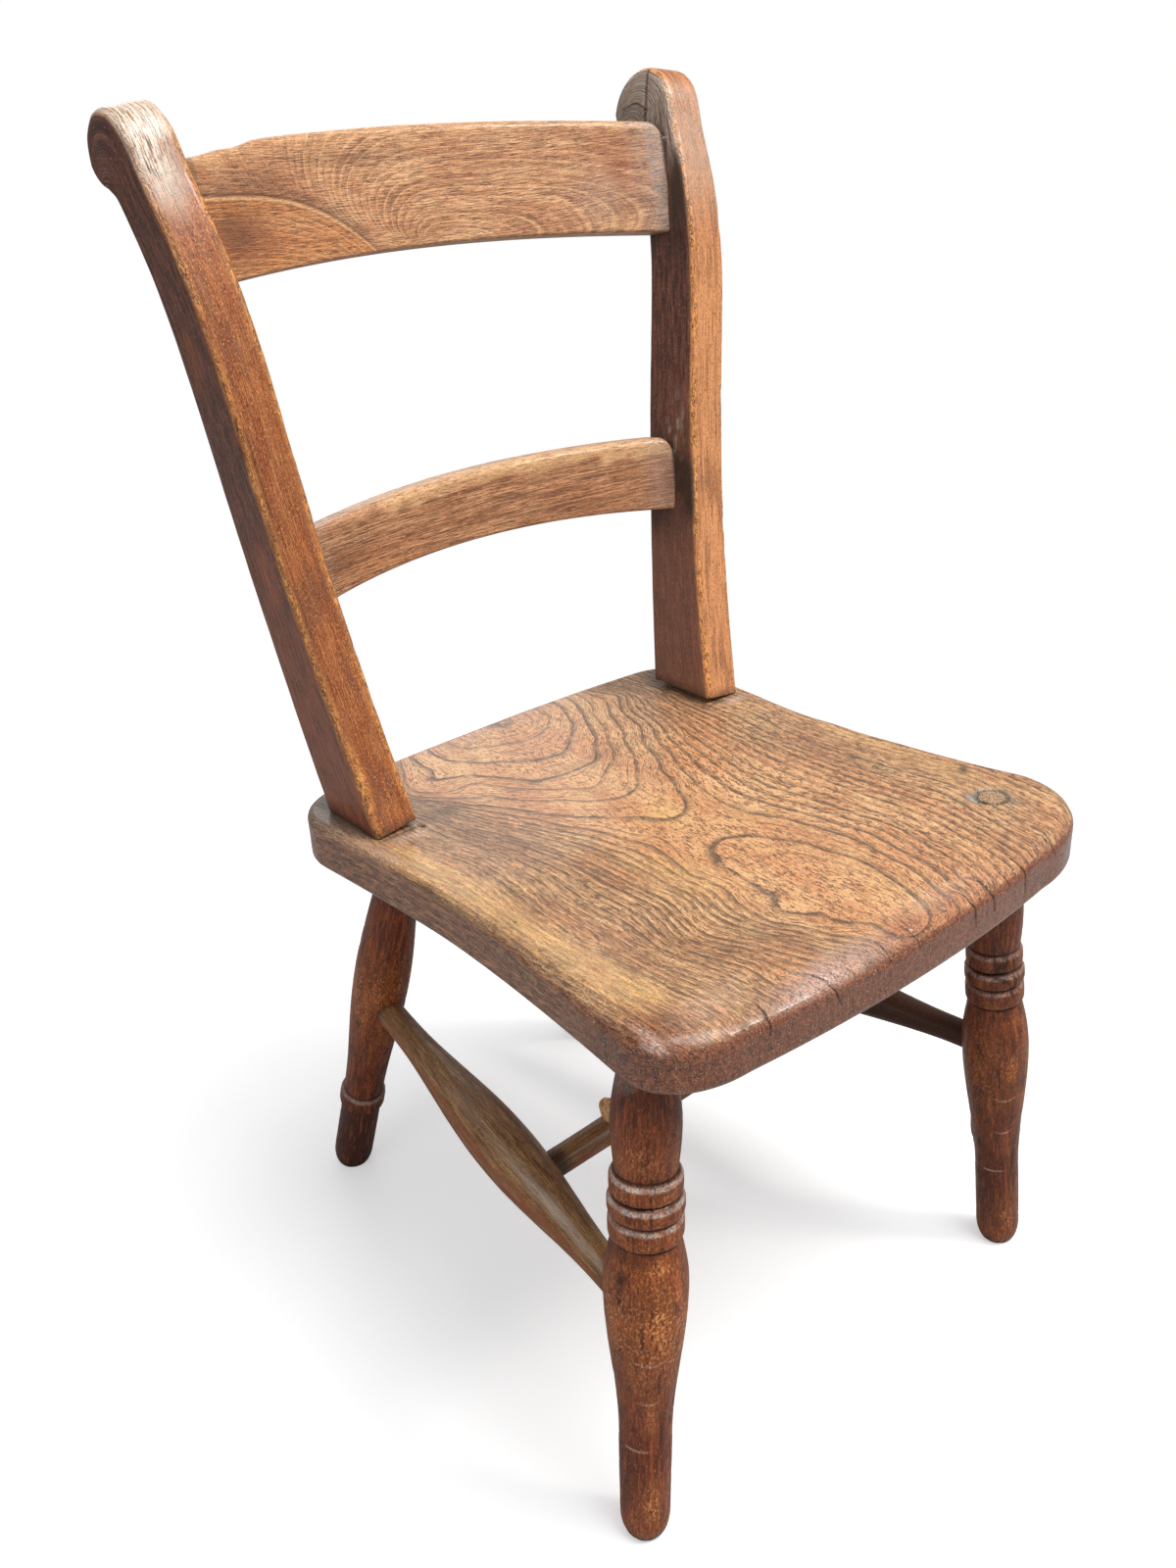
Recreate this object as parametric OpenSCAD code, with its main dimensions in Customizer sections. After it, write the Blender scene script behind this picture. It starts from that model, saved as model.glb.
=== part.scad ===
// Child's kitchen chair in elm and beech: plank seat, turned legs, scrolled back posts, two bent rails.
// Millimetres. +Z is up, the sitter faces -Y, and +X is the sitter's left.
// The origin lies on the floor, halfway between the seat's front edge and the back of the rear feet.

/* [Seat] */
// Height of the seat's top above the floor
seat_h = 300; // [280:1:330]
// Thickness of the seat plank
seat_t = 27; // [24:1:34]
// Depth of the seat from the front edge to the back edge
seat_d = 318; // [305:1:335]
// Distance from the origin forward to the seat's front edge
seat_front = 192.5; // [185:0.5:200]
// Distance from the back edge forward to the waist, on the right side
waist_back_right = 138; // [110:1:145]
// Distance from the back edge forward to the waist, on the left side
waist_back_left = 117; // [100:1:145]
// Distance from the middle to the right edge, at its waist
waist_right = 137.5; // [135:0.5:142]
// Distance from the middle to the left edge, at its waist
waist_left = 135.3; // [134:0.1:142]
// Distance from the middle to the right edge, where the front corner begins
front_right = 148.5; // [146:0.5:160]
// Distance from the middle to the left edge, where the front corner begins
front_left = 157; // [146:0.5:160]
// Distance from the middle to both side edges, where the back corners begin
back_half = 141.5; // [139:0.5:148]
// Depth of the rounded right front corner
corner_right = 42; // [34:1:60]
// Depth of the rounded left front corner
corner_left = 58; // [34:1:62]
// Depth of the rounded back corners
back_corner = 38; // [28:1:44]
// How far the front edge bows forward
front_bow = 6; // [0:0.5:10]
// How far the back edge bows backward
back_bow = 4.5; // [0:0.5:8]
// Rounding of the top edge at the sides and the back
side_round = 5; // [2:0.5:7]
// Rounding of the top edge along the front
nose_round = 9.5; // [5:0.5:12]
// Chamfer of the bottom edge
under_chamfer = 2.5; // [1:0.5:5]

/* [Front legs] */
// Distance from the middle to the front legs at the seat's underside
front_leg_x = 122.5; // [118:0.5:125]
// Distance from the seat's front edge to the front legs at the seat's underside
front_leg_in = 52.7; // [46:0.1:60]
// Lean of the front legs to the side, in degrees
front_lean_side = 4.71; // [0:0.01:8]
// Lean of the front legs to the front, in degrees
front_lean_front = 2.54; // [0:0.01:6]
// Diameter at the foot
front_foot_d = 24.6; // [22:0.1:28]
// Diameter at the ankle, below the vase
front_ankle_d = 25.8; // [23:0.1:28]
// Height of the ankle above the floor
front_ankle_h = 62; // [40:1:75]
// Diameter of the vase, at its thickest
vase_d = 39.4; // [36:0.1:44]
// Length of the vase above its thickest point
vase_shoulder = 26.5; // [18:0.5:32]
// Diameter of the vase where it meets the beads
vase_top_d = 31.4; // [28:0.1:34]
// Diameter of the lowest of the three beads
low_bead_d = 34.8; // [32:0.1:38]
// Diameter of the middle bead
mid_bead_d = 35.4; // [32:0.1:38]
// Diameter of the top bead
top_bead_d = 33.5; // [31:0.1:36]
// Height of the lowest bead
low_bead_h = 13; // [10:0.1:15]
// Height of the middle bead
mid_bead_h = 10.5; // [8:0.1:13]
// Height of the top bead
top_bead_h = 12; // [9:0.1:14]
// Depth of the grooves between the beads
bead_groove = 2; // [1:0.1:3]
// Distance from the seat's underside down to the top bead
bead_drop = 62.2; // [54:0.1:70]
// Diameter of the neck above the beads
neck_d = 28.6; // [26:0.1:31]
// Diameter of the swell above the neck
swell_d = 31.8; // [29:0.1:34]
// Distance from the seat's underside down to the thickest point of the swell
swell_drop = 39; // [32:1:46]
// Diameter of the front legs at the seat's underside
front_top_d = 24; // [21:0.1:27]
// How much lower the vase of the left leg swells than that of the right leg
left_vase_drop = 4; // [0:0.5:10]
// How much slimmer the vase and the beads of the left leg are turned
left_slim = 3.2; // [0:0.1:5]
// How much slimmer the ankle, neck and swell of the left leg are turned
left_ankle_slim = 1; // [0:0.1:2]

/* [Rear legs] */
// Distance from the middle to the rear legs at the seat's underside
rear_leg_x = 91.5; // [86:0.5:100]
// Distance from the seat's back edge to the rear legs at the seat's underside
rear_leg_in = 40; // [34:0.5:44]
// Lean of the rear legs to the side, in degrees
rear_lean_side = 2.16; // [0:0.01:6]
// Lean of the rear legs to the back, in degrees
rear_lean_back = 19.17; // [14:0.01:22]
// Diameter at the foot
rear_foot_d = 24.4; // [22:0.1:28]
// Height of the collar's lower edge along the leg
collar_at = 62; // [50:1:72]
// Height of the collar
collar_h = 14; // [10:0.5:16]
// Diameter of the collar
collar_d = 28.2; // [26:0.1:31]
// Diameter at the thickest point
rear_belly_d = 32.8; // [30:0.1:36]
// Distance from the seat's underside down the leg to the thickest point
rear_belly_drop = 112; // [100:1:125]
// Diameter of the rear legs at the seat's underside
rear_top_d = 21.6; // [20:0.1:25]

/* [Leg joints] */
// Diameter of the legs' tapered ends at their tips, in the seat
leg_tip_d = 17; // [14:0.1:19]
// Depth of the blind leg ends in the seat
leg_blind = 20; // [15:0.5:21]
// Gap all round each tenon
fit = 0.15; // [0.05:0.01:0.3]
// Gap beyond the end of each blind tenon
end_gap = 0.7; // [0.3:0.1:1]
// Height of the worn round of the feet
foot_round_h = 8; // [6:0.5:10]
// How much of the feet's radius is worn off at the floor
foot_round_in = 4.2; // [2:0.1:5]
// How far the worn edge of the open front socket is broken out
chip_out = 2; // [0:0.1:3]
// Depth of that broken edge
chip_depth = 4; // [1:0.5:6]

/* [Stretchers] */
// Height of the right stretcher on the rear leg's axis
right_rear_h = 149.5; // [140:0.5:160]
// Height of the right stretcher on the front leg's axis
right_front_h = 129; // [122:1:145]
// Height of the left stretcher on the rear leg's axis
left_rear_h = 136; // [128:1:150]
// Height of the left stretcher on the front leg's axis
left_front_h = 141; // [128:1:150]
// Diameter of the side stretchers at their ends
side_end_d = 16.4; // [14.5:0.1:19]
// Diameter of the left stretcher at its front end
left_front_d = 15.2; // [14:0.1:19]
// Diameter of the right stretcher at its thickest
right_belly_d = 31.2; // [26:0.1:34]
// Diameter of the left stretcher at its thickest
left_belly_d = 28.5; // [26:0.1:34]
// Distance from the rear leg's axis to the thickest point
side_belly_at = 150; // [130:1:170]
// Plain length at the rear end, from the leg's axis
side_plain_rear = 30; // [26:1:40]
// Plain length at the front end, from the leg's axis
side_plain_front = 22; // [21:1:30]
// Distance from the rear leg's axis to the cross stretcher
cross_at = 176; // [160:1:190]
// Diameter of the cross stretcher at its ends
cross_end_d = 15; // [12:0.1:17]
// Diameter of the cross stretcher in the middle
cross_belly_d = 17; // [15:0.1:22]
// How far the cross stretcher's tips stop short of the side stretchers' axes
cross_short = 3; // [0:0.5:6]
// Plain length at each end of the cross stretcher, from the side stretcher's axis
cross_plain = 24; // [20:1:40]
// Diameter of the peg in the cross stretcher
peg_d = 9.5; // [6:0.1:11]
// Length of the peg above the cross stretcher's axis
peg_up = 20; // [12:0.5:24]
// Depth of the peg below the cross stretcher's axis
peg_down = 2; // [0:0.5:4]
// Distance of the peg from the middle, towards the right
peg_x = 63; // [20:1:80]
// Lean of the peg towards the right, in degrees
peg_lean = 12; // [0:1:30]

/* [Back posts] */
// Distance from the middle to the posts' outer faces at the seat's top
post_out = 129; // [124:0.5:131]
// Width of the posts across the chair
post_w = 24.8; // [20:0.1:28]
// Sideways splay of the posts, in degrees
post_splay = 7.08; // [4:0.01:9]
// Distance from the seat's back edge forward to the posts' front corner
post_in = 76.5; // [70:0.5:80]
// Depth of the posts, front to back, at the seat
post_foot_d = 47; // [42:0.5:52]
// Length of the posts' front curve, up to the scroll
post_l = 314.4; // [300:0.1:330]
// How far the front curve leans back over its length
post_back = 63.3; // [55:0.1:72]
// How far the back curve ends below the front curve
scroll_drop = 12.1; // [8:0.1:16]
// Depth of the post where the scroll begins
scroll_neck = 30; // [26:0.5:34]
// Radius of the scroll's large arc
scroll_r = 22; // [19:0.5:24]
// Radius of the scroll's small arc
scroll_tip_r = 8; // [5:0.5:10]
// How much lower the small arc's centre lies than that of the large arc
scroll_dip = 3.5; // [0:0.5:6]
// Width of the posts' tenons across the chair
post_tenon_w = 16; // [12:0.5:18]
// Depth of the posts' tenons, front to back
post_tenon_d = 34; // [28:0.5:38]
// Thickness of the wedges at the seat's underside
wedge_t = 3; // [2:0.1:4]
// Thickness of the wedges at their upper tips
wedge_tip_t = 0.8; // [0.4:0.1:1.5]
// Length of the wedges
wedge_l = 20; // [14:0.5:22]

/* [Rails] */
// Distance from the upper end of the posts' front curve down to the top rail's lower edge, at its left end
top_rail_drop = 56.9; // [50:0.1:64]
// Height of the top rail itself, at its left end
top_rail_h = 57.5; // [48:0.5:62]
// How much higher the right end of the top rail's lower edge lies
top_rail_rise = 5.3; // [-2:0.1:7]
// How much taller the top rail is at its right end
top_rail_grow = 0.7; // [-3:0.1:3]
// How much higher the top rail's lower edge is in the middle
top_rail_arch = 9.5; // [2:0.1:12]
// How much higher the top rail's upper edge is in the middle
top_rail_crown = 9.5; // [2:0.1:12]
// Distance from the posts' front corner back to the top rail's front face, at its ends
top_rail_in = 57.5; // [54:0.5:61]
// Backward tilt of the top rail, in degrees
top_rail_tilt = 11; // [6:0.5:14]
// Backward bow of the top rail
top_rail_bow = 27; // [18:0.5:34]
// Height of the lower rail's lower edge above the seat, at its left end
low_rail_z = 108; // [100:0.5:120]
// Height of the lower rail itself, at its left end
low_rail_h = 41.5; // [34:0.5:50]
// How much higher the right end of the lower rail's lower edge lies
low_rail_rise = 4; // [-2:0.1:6]
// How much taller the lower rail is at its right end
low_rail_grow = -5; // [-6:0.1:3]
// How much higher the lower rail's lower edge is in the middle
low_rail_arch = 7.5; // [2:0.1:12]
// How much higher the lower rail's upper edge is in the middle
low_rail_crown = 5.2; // [2:0.1:12]
// Distance from the posts' front corner back to the lower rail's front face, at its ends
low_rail_in = 39; // [35:0.5:43]
// Backward tilt of the lower rail, in degrees
low_rail_tilt = 6; // [2:0.5:10]
// Backward bow of the lower rail
low_rail_bow = 22; // [14:0.5:28]
// Thickness of both rails
rail_t = 16; // [13:0.5:18]
// Radius of the rails' top corners
rail_corner = 6; // [2:0.5:10]
// Thickness of the rails' tenons
rail_tenon_t = 8; // [6:0.5:10]
// Step of the rails' tenons above and below
rail_tenon_step = 6; // [3:0.5:9]
// Depth of the rails' tenons in the posts
rail_tenon_l = 14; // [8:0.5:18]

/* [Hidden] */
$fn = 96;

RIGHT = -1;
LEFT = 1;
REACH = 400;      // half size of the blocks that stand for half spaces
OVER = 2;         // how far a cutter runs past the face that it opens
FINE = 360;       // facets on the rails' long arcs
SEAM = 40;        // turns the start of each turned surface away from the plane in which it leans

elm = [0.72, 0.49, 0.33];
beech = [0.45, 0.24, 0.15];
post_wood = [0.62, 0.37, 0.22];
rail_wood = [0.66, 0.47, 0.31];
peg_wood = [0.85, 0.66, 0.36];

under = seat_h - seat_t;
y_front = -seat_front;
y_back = y_front + seat_d;
y_post = y_back - post_in;

// A half wave from 0 to 1, which starts and ends level
function ease(t) = 0.5 - 0.5 * cos(180 * t);
// Points of a half wave from one [place, radius] to the next, without the first
function wave(a, b, n) = [for (i = [1:n]) let (t = i / n)
    [a[0] + (b[0] - a[0]) * t, a[1] + (b[1] - a[1]) * ease(t)]];
// Points of a quarter wave that leaves a level crest at a and drops to b
function crest(a, b, n) = [for (i = [1:n]) let (t = i / n)
    [a[0] + (b[0] - a[0]) * t, b[1] + (a[1] - b[1]) * cos(90 * t)]];
// Points of a quarter wave that rises from a to a level crest at b
function rise(a, b, n) = [for (i = [1:n]) let (t = i / n)
    [a[0] + (b[0] - a[0]) * t, a[1] + (b[1] - a[1]) * sin(90 * t)]];
// Points of a bead: a half ellipse between two grooves
function bead(at, h, r, groove, n) =
    [for (i = [0:n]) [at + h * (0.5 - 0.5 * cos(180 * i / n)), r - groove + groove * sin(180 * i / n)]];
// One point of a cubic curve with the control points p
function cubic(p, t) = pow(1 - t, 3) * p[0] + 3 * pow(1 - t, 2) * t * p[1]
    + 3 * (1 - t) * t * t * p[2] + pow(t, 3) * p[3];

// Turns and moves a shape that stands on the origin along +Z so that it runs from p towards q
module along(p, q) {
    d = q - p;
    translate(p) rotate([0, acos(d[2] / norm(d)), atan2(d[1], d[0])]) children();
}

// Turned solid with [place along the axis, radius] points, from the floor end up
module turned(points) {
    rotate(SEAM) rotate_extrude()
        polygon(concat([[0, points[0][0]]], [for (p = points) [p[1], p[0]]],
            [[0, points[len(points) - 1][0]]]));
}

module slab(low, high) {
    translate([-REACH, -REACH, low]) cube([2 * REACH, 2 * REACH, high - low]);
}

// Leg axes: the foot on the floor and the top at the seat's underside
function front_top(s) = [s * front_leg_x, y_front + front_leg_in, under];
function front_foot(s) = front_top(s) + under * [s * tan(front_lean_side), -tan(front_lean_front), -1];
function rear_top(s) = [s * rear_leg_x, y_back - rear_leg_in, under];
function rear_foot(s) = rear_top(s) + under * [s * tan(rear_lean_side), tan(rear_lean_back), -1];
front_l = norm(front_top(LEFT) - front_foot(LEFT));
rear_l = norm(rear_top(LEFT) - rear_foot(LEFT));
function at_height(foot, top, h) = foot + (top - foot) * h / under;

// Side stretcher ends on the leg axes, and the cross stretcher's ends on the side stretchers' axes
function side_rear(s) = at_height(rear_foot(s), rear_top(s), s == RIGHT ? right_rear_h : left_rear_h);
function side_front(s) = at_height(front_foot(s), front_top(s), s == RIGHT ? right_front_h : left_front_h);
function side_l(s) = norm(side_front(s) - side_rear(s));
function cross_end(s) = side_rear(s) + (side_front(s) - side_rear(s)) * cross_at / side_l(s);
cross_l = norm(cross_end(LEFT) - cross_end(RIGHT));

// Seat outline, one half at a time, from the middle of the back edge round to the middle of the front edge
SIDE_POWER = 1.6;     // how fast the seat's sides leave the waist
CORNER_PULL = 0.55;   // how square the seat's corners are drawn
BACK_LEAN = 1;        // how far the sides still widen along the handles of the back corners
FRONT_LEAN = 4;       // how far they still widen along the handles of the front corners
CORNER_STEPS = 8;
// One side as [distance to the waist, to the front corner, depth of that corner, height of the waist in y]
RIGHT_SIDE = [waist_right, front_right, corner_right, y_back - waist_back_right];
LEFT_SIDE = [waist_left, front_left, corner_left, y_back - waist_back_left];
function side_x(side, y) = y > side[3]
    ? side[0] + (back_half - side[0]) * pow((y - side[3]) / (y_back - back_corner - side[3]), SIDE_POWER)
    : side[0] + (side[1] - side[0]) * pow((side[3] - y) / (side[3] - y_front - side[2]), SIDE_POWER);
function corner(side, edge, lean) = [for (i = [0:CORNER_STEPS])
    cubic([side, side + lean, edge + [CORNER_PULL * (side[0] - edge[0]), 0], edge], i / CORNER_STEPS)];
SIDE_STEPS = 12;
EDGE_STEPS = 5;
back_edge_x = back_half - back_corner;
function half_outline(side) =
    let (
        edge_x = side[1] - side[2],
        y0 = y_back - back_corner,
        y1 = y_front + side[2],
        back = corner([side_x(side, y0), y0], [back_edge_x, y_back - back_bow],
            [BACK_LEAN, CORNER_PULL * back_corner]),
        front = corner([side_x(side, y1), y1], [edge_x, y_front + front_bow],
            [FRONT_LEAN, -CORNER_PULL * side[2]]))
    concat(
        [for (i = [0:EDGE_STEPS - 1])
            [back_edge_x * i / EDGE_STEPS, y_back - back_bow * pow(i / EDGE_STEPS, 2)]],
        [for (i = [CORNER_STEPS:-1:1]) back[i]],
        [for (i = [0:SIDE_STEPS - 1]) let (y = y0 + (y1 - y0) * i / SIDE_STEPS) [side_x(side, y), y]],
        [for (i = [0:CORNER_STEPS]) front[i]],
        [for (i = [EDGE_STEPS - 1:-1:0])
            [edge_x * i / EDGE_STEPS, y_front + front_bow * pow(i / EDGE_STEPS, 2)]]);
left_outline = half_outline(LEFT_SIDE);
right_outline = half_outline(RIGHT_SIDE);
outline = concat(left_outline,
    [for (i = [len(right_outline) - 2:-1:1]) [-right_outline[i][0], right_outline[i][1]]]);
OUT_N = len(outline);
function inward(i) = let (d = outline[(i + 1) % OUT_N] - outline[(i + OUT_N - 1) % OUT_N])
    [d[1], -d[0]] / norm(d);
function top_round(y) = side_round + (nose_round - side_round)
    * ease(min(1, max(0, (LEFT_SIDE[3] - y) / (LEFT_SIDE[3] - y_front - corner_right))));
ROUND_STEPS = 4;
function seat_ring(low, drop, in) = [for (i = [0:OUT_N - 1])
    let (p = outline[i] + in[i] * inward(i)) [p[0], p[1], low ? under + drop[i] : seat_h - drop[i]]];
every = [for (p = outline) 1];
rounds = [for (p = outline) top_round(p[1])];
seat_rings = concat(
    [seat_ring(true, 0 * every, under_chamfer * every), seat_ring(true, under_chamfer * every, 0 * every)],
    [for (k = [0:ROUND_STEPS]) let (a = 90 * k / ROUND_STEPS)
        seat_ring(false, rounds * (1 - sin(a)), rounds * (1 - cos(a)))]);

// Solid through a stack of rings with equal numbers of points, from the lowest up, turning clockwise
module stacked(rings) {
    n = len(rings[0]);
    last = len(rings) - 1;
    polyhedron(
        points = [for (r = rings) for (p = r) p],
        faces = concat(
            [[for (i = [n - 1:-1:0]) i]],
            [for (k = [0:last - 1]) for (i = [0:n - 1])
                let (j = (i + 1) % n) [k * n + i, k * n + j, (k + 1) * n + j, (k + 1) * n + i]],
            [[for (i = [0:n - 1]) last * n + i]]),
        convexity = 4);
}

// The tapered end of a leg of length l as [place, radius] points, from its full diameter d to its tip
THROUGH = seat_t + 2 * OVER;      // length along the leg that passes the seat's top
function tapered(l, d, deep, gap) = [[l, d / 2 + gap], [l + deep, leg_tip_d / 2 + gap]];

// Socket for a leg's tapered end, with room beyond the tip
module leg_bore(foot, top, d, deep) {
    l = norm(top - foot);
    along(foot, top)
        turned(concat([[l - d, d / 2 + fit]], tapered(l, d, deep, fit),
            [[l + deep + end_gap, leg_tip_d / 2 + fit]]));
}

CHIP_WAY = [-0.8, 0.6, 0];    // the open socket's edge is broken out towards the right and the back

module seat() {
    open_top = at_height(front_foot(LEFT), front_top(LEFT), seat_h);
    color(elm) difference() {
        stacked(seat_rings);
        leg_bore(front_foot(RIGHT), front_top(RIGHT), front_top_d, leg_blind);
        leg_bore(front_foot(LEFT), front_top(LEFT), front_top_d, THROUGH);
        for (s = [RIGHT, LEFT]) leg_bore(rear_foot(s), rear_top(s), rear_top_d, leg_blind);
        translate(open_top + chip_out * CHIP_WAY - [0, 0, chip_depth])
            cylinder(d = leg_tip_d, h = chip_depth + OVER);
        for (s = [RIGHT, LEFT]) post_tenon(s, fit, under - OVER);
    }
}

// Round socket for a stretcher's end, from just past the tip out through the side of what holds it
module end_bore(tip, towards, d) {
    along(tip, towards)
        translate([0, 0, -end_gap]) cylinder(d = d + 2 * fit, h = end_gap + vase_d);
}

// The worn round of a foot of radius r as [place, radius] points
KNEE_UP = 0.6;        // the round bends at this share of its height
KNEE_IN = 1 / 3;      // and there has this share of the wear left
function foot_points(r) =
    let (up = KNEE_UP * foot_round_h, in = KNEE_IN * foot_round_in)
    [[-up, r - 2 * foot_round_in + in], [up, r - in], [foot_round_h, r]];

// Turned leg that stands on the floor and ends in or flush with the seat
module leg(foot, top, points) {
    intersection() {
        along(foot, top) turned(points);
        slab(0, seat_h);
    }
}

function front_points(drop, slim, ankle_slim, deep) =
    let (
        ankle_r = (front_ankle_d - ankle_slim) / 2,
        vase_r = (vase_d - slim) / 2,
        swell_r = (swell_d - ankle_slim) / 2,
        neck_r = (neck_d - ankle_slim) / 2,
        beads_top = front_l - bead_drop,
        mid_bead = beads_top - top_bead_h - mid_bead_h,
        low_bead = mid_bead - low_bead_h,
        vase_at = low_bead - vase_shoulder - drop,
        ankle_at = front_ankle_h - drop)
    concat(
        foot_points(front_foot_d / 2),
        wave([foot_round_h, front_foot_d / 2], [ankle_at, ankle_r], 4),
        wave([ankle_at, ankle_r], [vase_at, vase_r], 12),
        crest([vase_at, vase_r], [low_bead, (vase_top_d - slim) / 2], 8),
        bead(low_bead, low_bead_h, (low_bead_d - slim) / 2, bead_groove, 8),
        bead(mid_bead, mid_bead_h, (mid_bead_d - slim) / 2, bead_groove, 8),
        bead(beads_top - top_bead_h, top_bead_h, (top_bead_d - slim) / 2, bead_groove, 8),
        [[beads_top, neck_r]],
        rise([beads_top, neck_r], [front_l - swell_drop, swell_r], 5),
        wave([front_l - swell_drop, swell_r], [front_l, front_top_d / 2], 8),
        [tapered(front_l, front_top_d, deep, 0)[1]]);

rear_points =
    let (collar_top = collar_at + collar_h, collar_step = (collar_d - rear_foot_d) / 2)
    concat(
        foot_points(rear_foot_d / 2),
        bead(collar_at, collar_h, collar_d / 2, collar_step, 8),
        wave([collar_top, rear_foot_d / 2], [rear_l - rear_belly_drop, rear_belly_d / 2], 12),
        wave([rear_l - rear_belly_drop, rear_belly_d / 2], [rear_l, rear_top_d / 2], 12),
        [tapered(rear_l, rear_top_d, leg_blind, 0)[1]]);

module front_leg(s) {
    left = s == LEFT;
    points = left ? front_points(left_vase_drop, left_slim, left_ankle_slim, THROUGH)
        : front_points(0, 0, 0, leg_blind);
    color(beech) difference() {
        leg(front_foot(s), front_top(s), points);
        end_bore(side_front(s), side_rear(s), left ? left_front_d : side_end_d);
    }
}

module rear_leg(s) {
    color(beech) difference() {
        leg(rear_foot(s), rear_top(s), rear_points);
        end_bore(side_rear(s), side_front(s), side_end_d);
    }
}

module side_stretcher(s) {
    l = side_l(s);
    front_r = (s == LEFT ? left_front_d : side_end_d) / 2;
    belly_r = (s == LEFT ? left_belly_d : right_belly_d) / 2;
    color(beech) difference() {
        along(side_rear(s), side_front(s))
            turned(concat(
                [[0, side_end_d / 2], [side_plain_rear, side_end_d / 2]],
                wave([side_plain_rear, side_end_d / 2], [side_belly_at, belly_r], 12),
                wave([side_belly_at, belly_r], [l - side_plain_front, front_r], 12),
                [[l, front_r]]));
        along(cross_end(s), cross_end(-s))
            translate([0, 0, cross_short - end_gap]) cylinder(d = cross_end_d + 2 * fit, h = right_belly_d);
    }
}

peg_at = cross_end(RIGHT) + (cross_end(LEFT) - cross_end(RIGHT))
    * (-peg_x - cross_end(RIGHT)[0]) / (cross_end(LEFT)[0] - cross_end(RIGHT)[0]);
peg_way = [-sin(peg_lean), 0, cos(peg_lean)];

module cross_stretcher() {
    color(beech) difference() {
        along(cross_end(RIGHT), cross_end(LEFT))
            turned(concat(
                [[cross_short, cross_end_d / 2], [cross_plain, cross_end_d / 2]],
                wave([cross_plain, cross_end_d / 2], [cross_l / 2, cross_belly_d / 2], 8),
                wave([cross_l / 2, cross_belly_d / 2], [cross_l - cross_plain, cross_end_d / 2], 8),
                [[cross_l - cross_short, cross_end_d / 2]]));
        along(peg_at - (peg_down + end_gap) * peg_way, peg_at + peg_way)
            cylinder(d = peg_d + 2 * fit, h = peg_down + end_gap + peg_up);
    }
}

PEG_CHAMFER = 1;

module stretcher_peg() {
    l = peg_down + peg_up;
    color(peg_wood) along(peg_at - peg_down * peg_way, peg_at + peg_way)
        turned([[0, peg_d / 2], [l - PEG_CHAMFER, peg_d / 2], [l, peg_d / 2 - PEG_CHAMFER]]);
}

// Side view of a post as [depth, length along the post] points, from the front foot over the scroll
CURVE_STEPS = 20;
SCROLL_STEP = [1, 3];             // how far the scroll starts behind and above the front curve's end
FRONT_LOW = [0.817, 0.643];       // handles of both curves, as shares of the lean back and of the length
FRONT_HIGH = [0.299, 0.722];
BACK_LOW = [0.542, 0.713];
BACK_HIGH = [0.18, 0.722];
function handle(share) = [share[0] * post_back, share[1] * post_l];
front_curve = [[0, 0], handle(FRONT_LOW), handle(FRONT_HIGH), [post_back, post_l]];
scroll_c = [post_back + scroll_r, post_l] + SCROLL_STEP;
tip_c = scroll_c + [scroll_r - scroll_tip_r, -scroll_dip];
notch = [post_back + scroll_neck, post_l - scroll_drop];
back_foot = [post_foot_d, 0];
back_curve = [back_foot, back_foot + handle(BACK_LOW), back_foot + handle(BACK_HIGH), notch];
post_side = concat(
    [[0, -2 * OVER]],
    [for (i = [0:CURVE_STEPS]) cubic(front_curve, i / CURVE_STEPS)],
    [for (i = [0:16]) let (a = 180 - 180 * i / 16) scroll_c + scroll_r * [cos(a), sin(a)]],
    [for (i = [1:6]) let (a = -90 * i / 6) tip_c + scroll_tip_r * [cos(a), sin(a)]],
    [for (i = [0:CURVE_STEPS]) cubic(back_curve, 1 - i / CURVE_STEPS)],
    [[post_foot_d, -2 * OVER]]);

// Places a shape whose x runs inward from a post's outer face, y back and z up along the post
module on_post(s) {
    mirror([s == RIGHT ? 1 : 0, 0, 0])
        translate([post_out, y_post, seat_h]) rotate([0, post_splay, 0]) children();
}

// A post's tenon, grown by a gap, down to a height
module post_tenon(s, gap, low) {
    intersection() {
        on_post(s)
            translate([-(post_w + post_tenon_w) / 2 - gap, (post_foot_d - post_tenon_d) / 2 - gap, -REACH / 2])
                cube([post_tenon_w + 2 * gap, post_tenon_d + 2 * gap, REACH / 2 + OVER]);
        slab(low, seat_h + OVER);
    }
}

// The wedge in a post's tenon, thick at the seat's underside and thin above
module wedge(s) {
    intersection() {
        on_post(s)
            translate([-post_w / 2, (post_foot_d + post_tenon_d) / 2, -(seat_t + OVER)]) rotate([90, 0, 0])
                linear_extrude(post_tenon_d)
                    polygon([[-wedge_t / 2, 0], [wedge_t / 2, 0], [wedge_tip_t / 2, wedge_l + OVER],
                        [-wedge_tip_t / 2, wedge_l + OVER]]);
        slab(under, seat_h);
    }
}

module back_post(s) {
    color(post_wood) difference() {
        union() {
            intersection() {
                on_post(s)
                    rotate([90, 0, -90]) mirror([1, 0, 0]) linear_extrude(post_w) polygon(post_side);
                slab(seat_h, seat_h + REACH);
            }
            post_tenon(s, 0, under);
        }
        wedge(s);
        rail_tenon(TOP, fit);
        rail_tenon(LOW, fit);
    }
}

module post_wedges() {
    color(peg_wood) for (s = [RIGHT, LEFT]) wedge(s);
}

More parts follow.
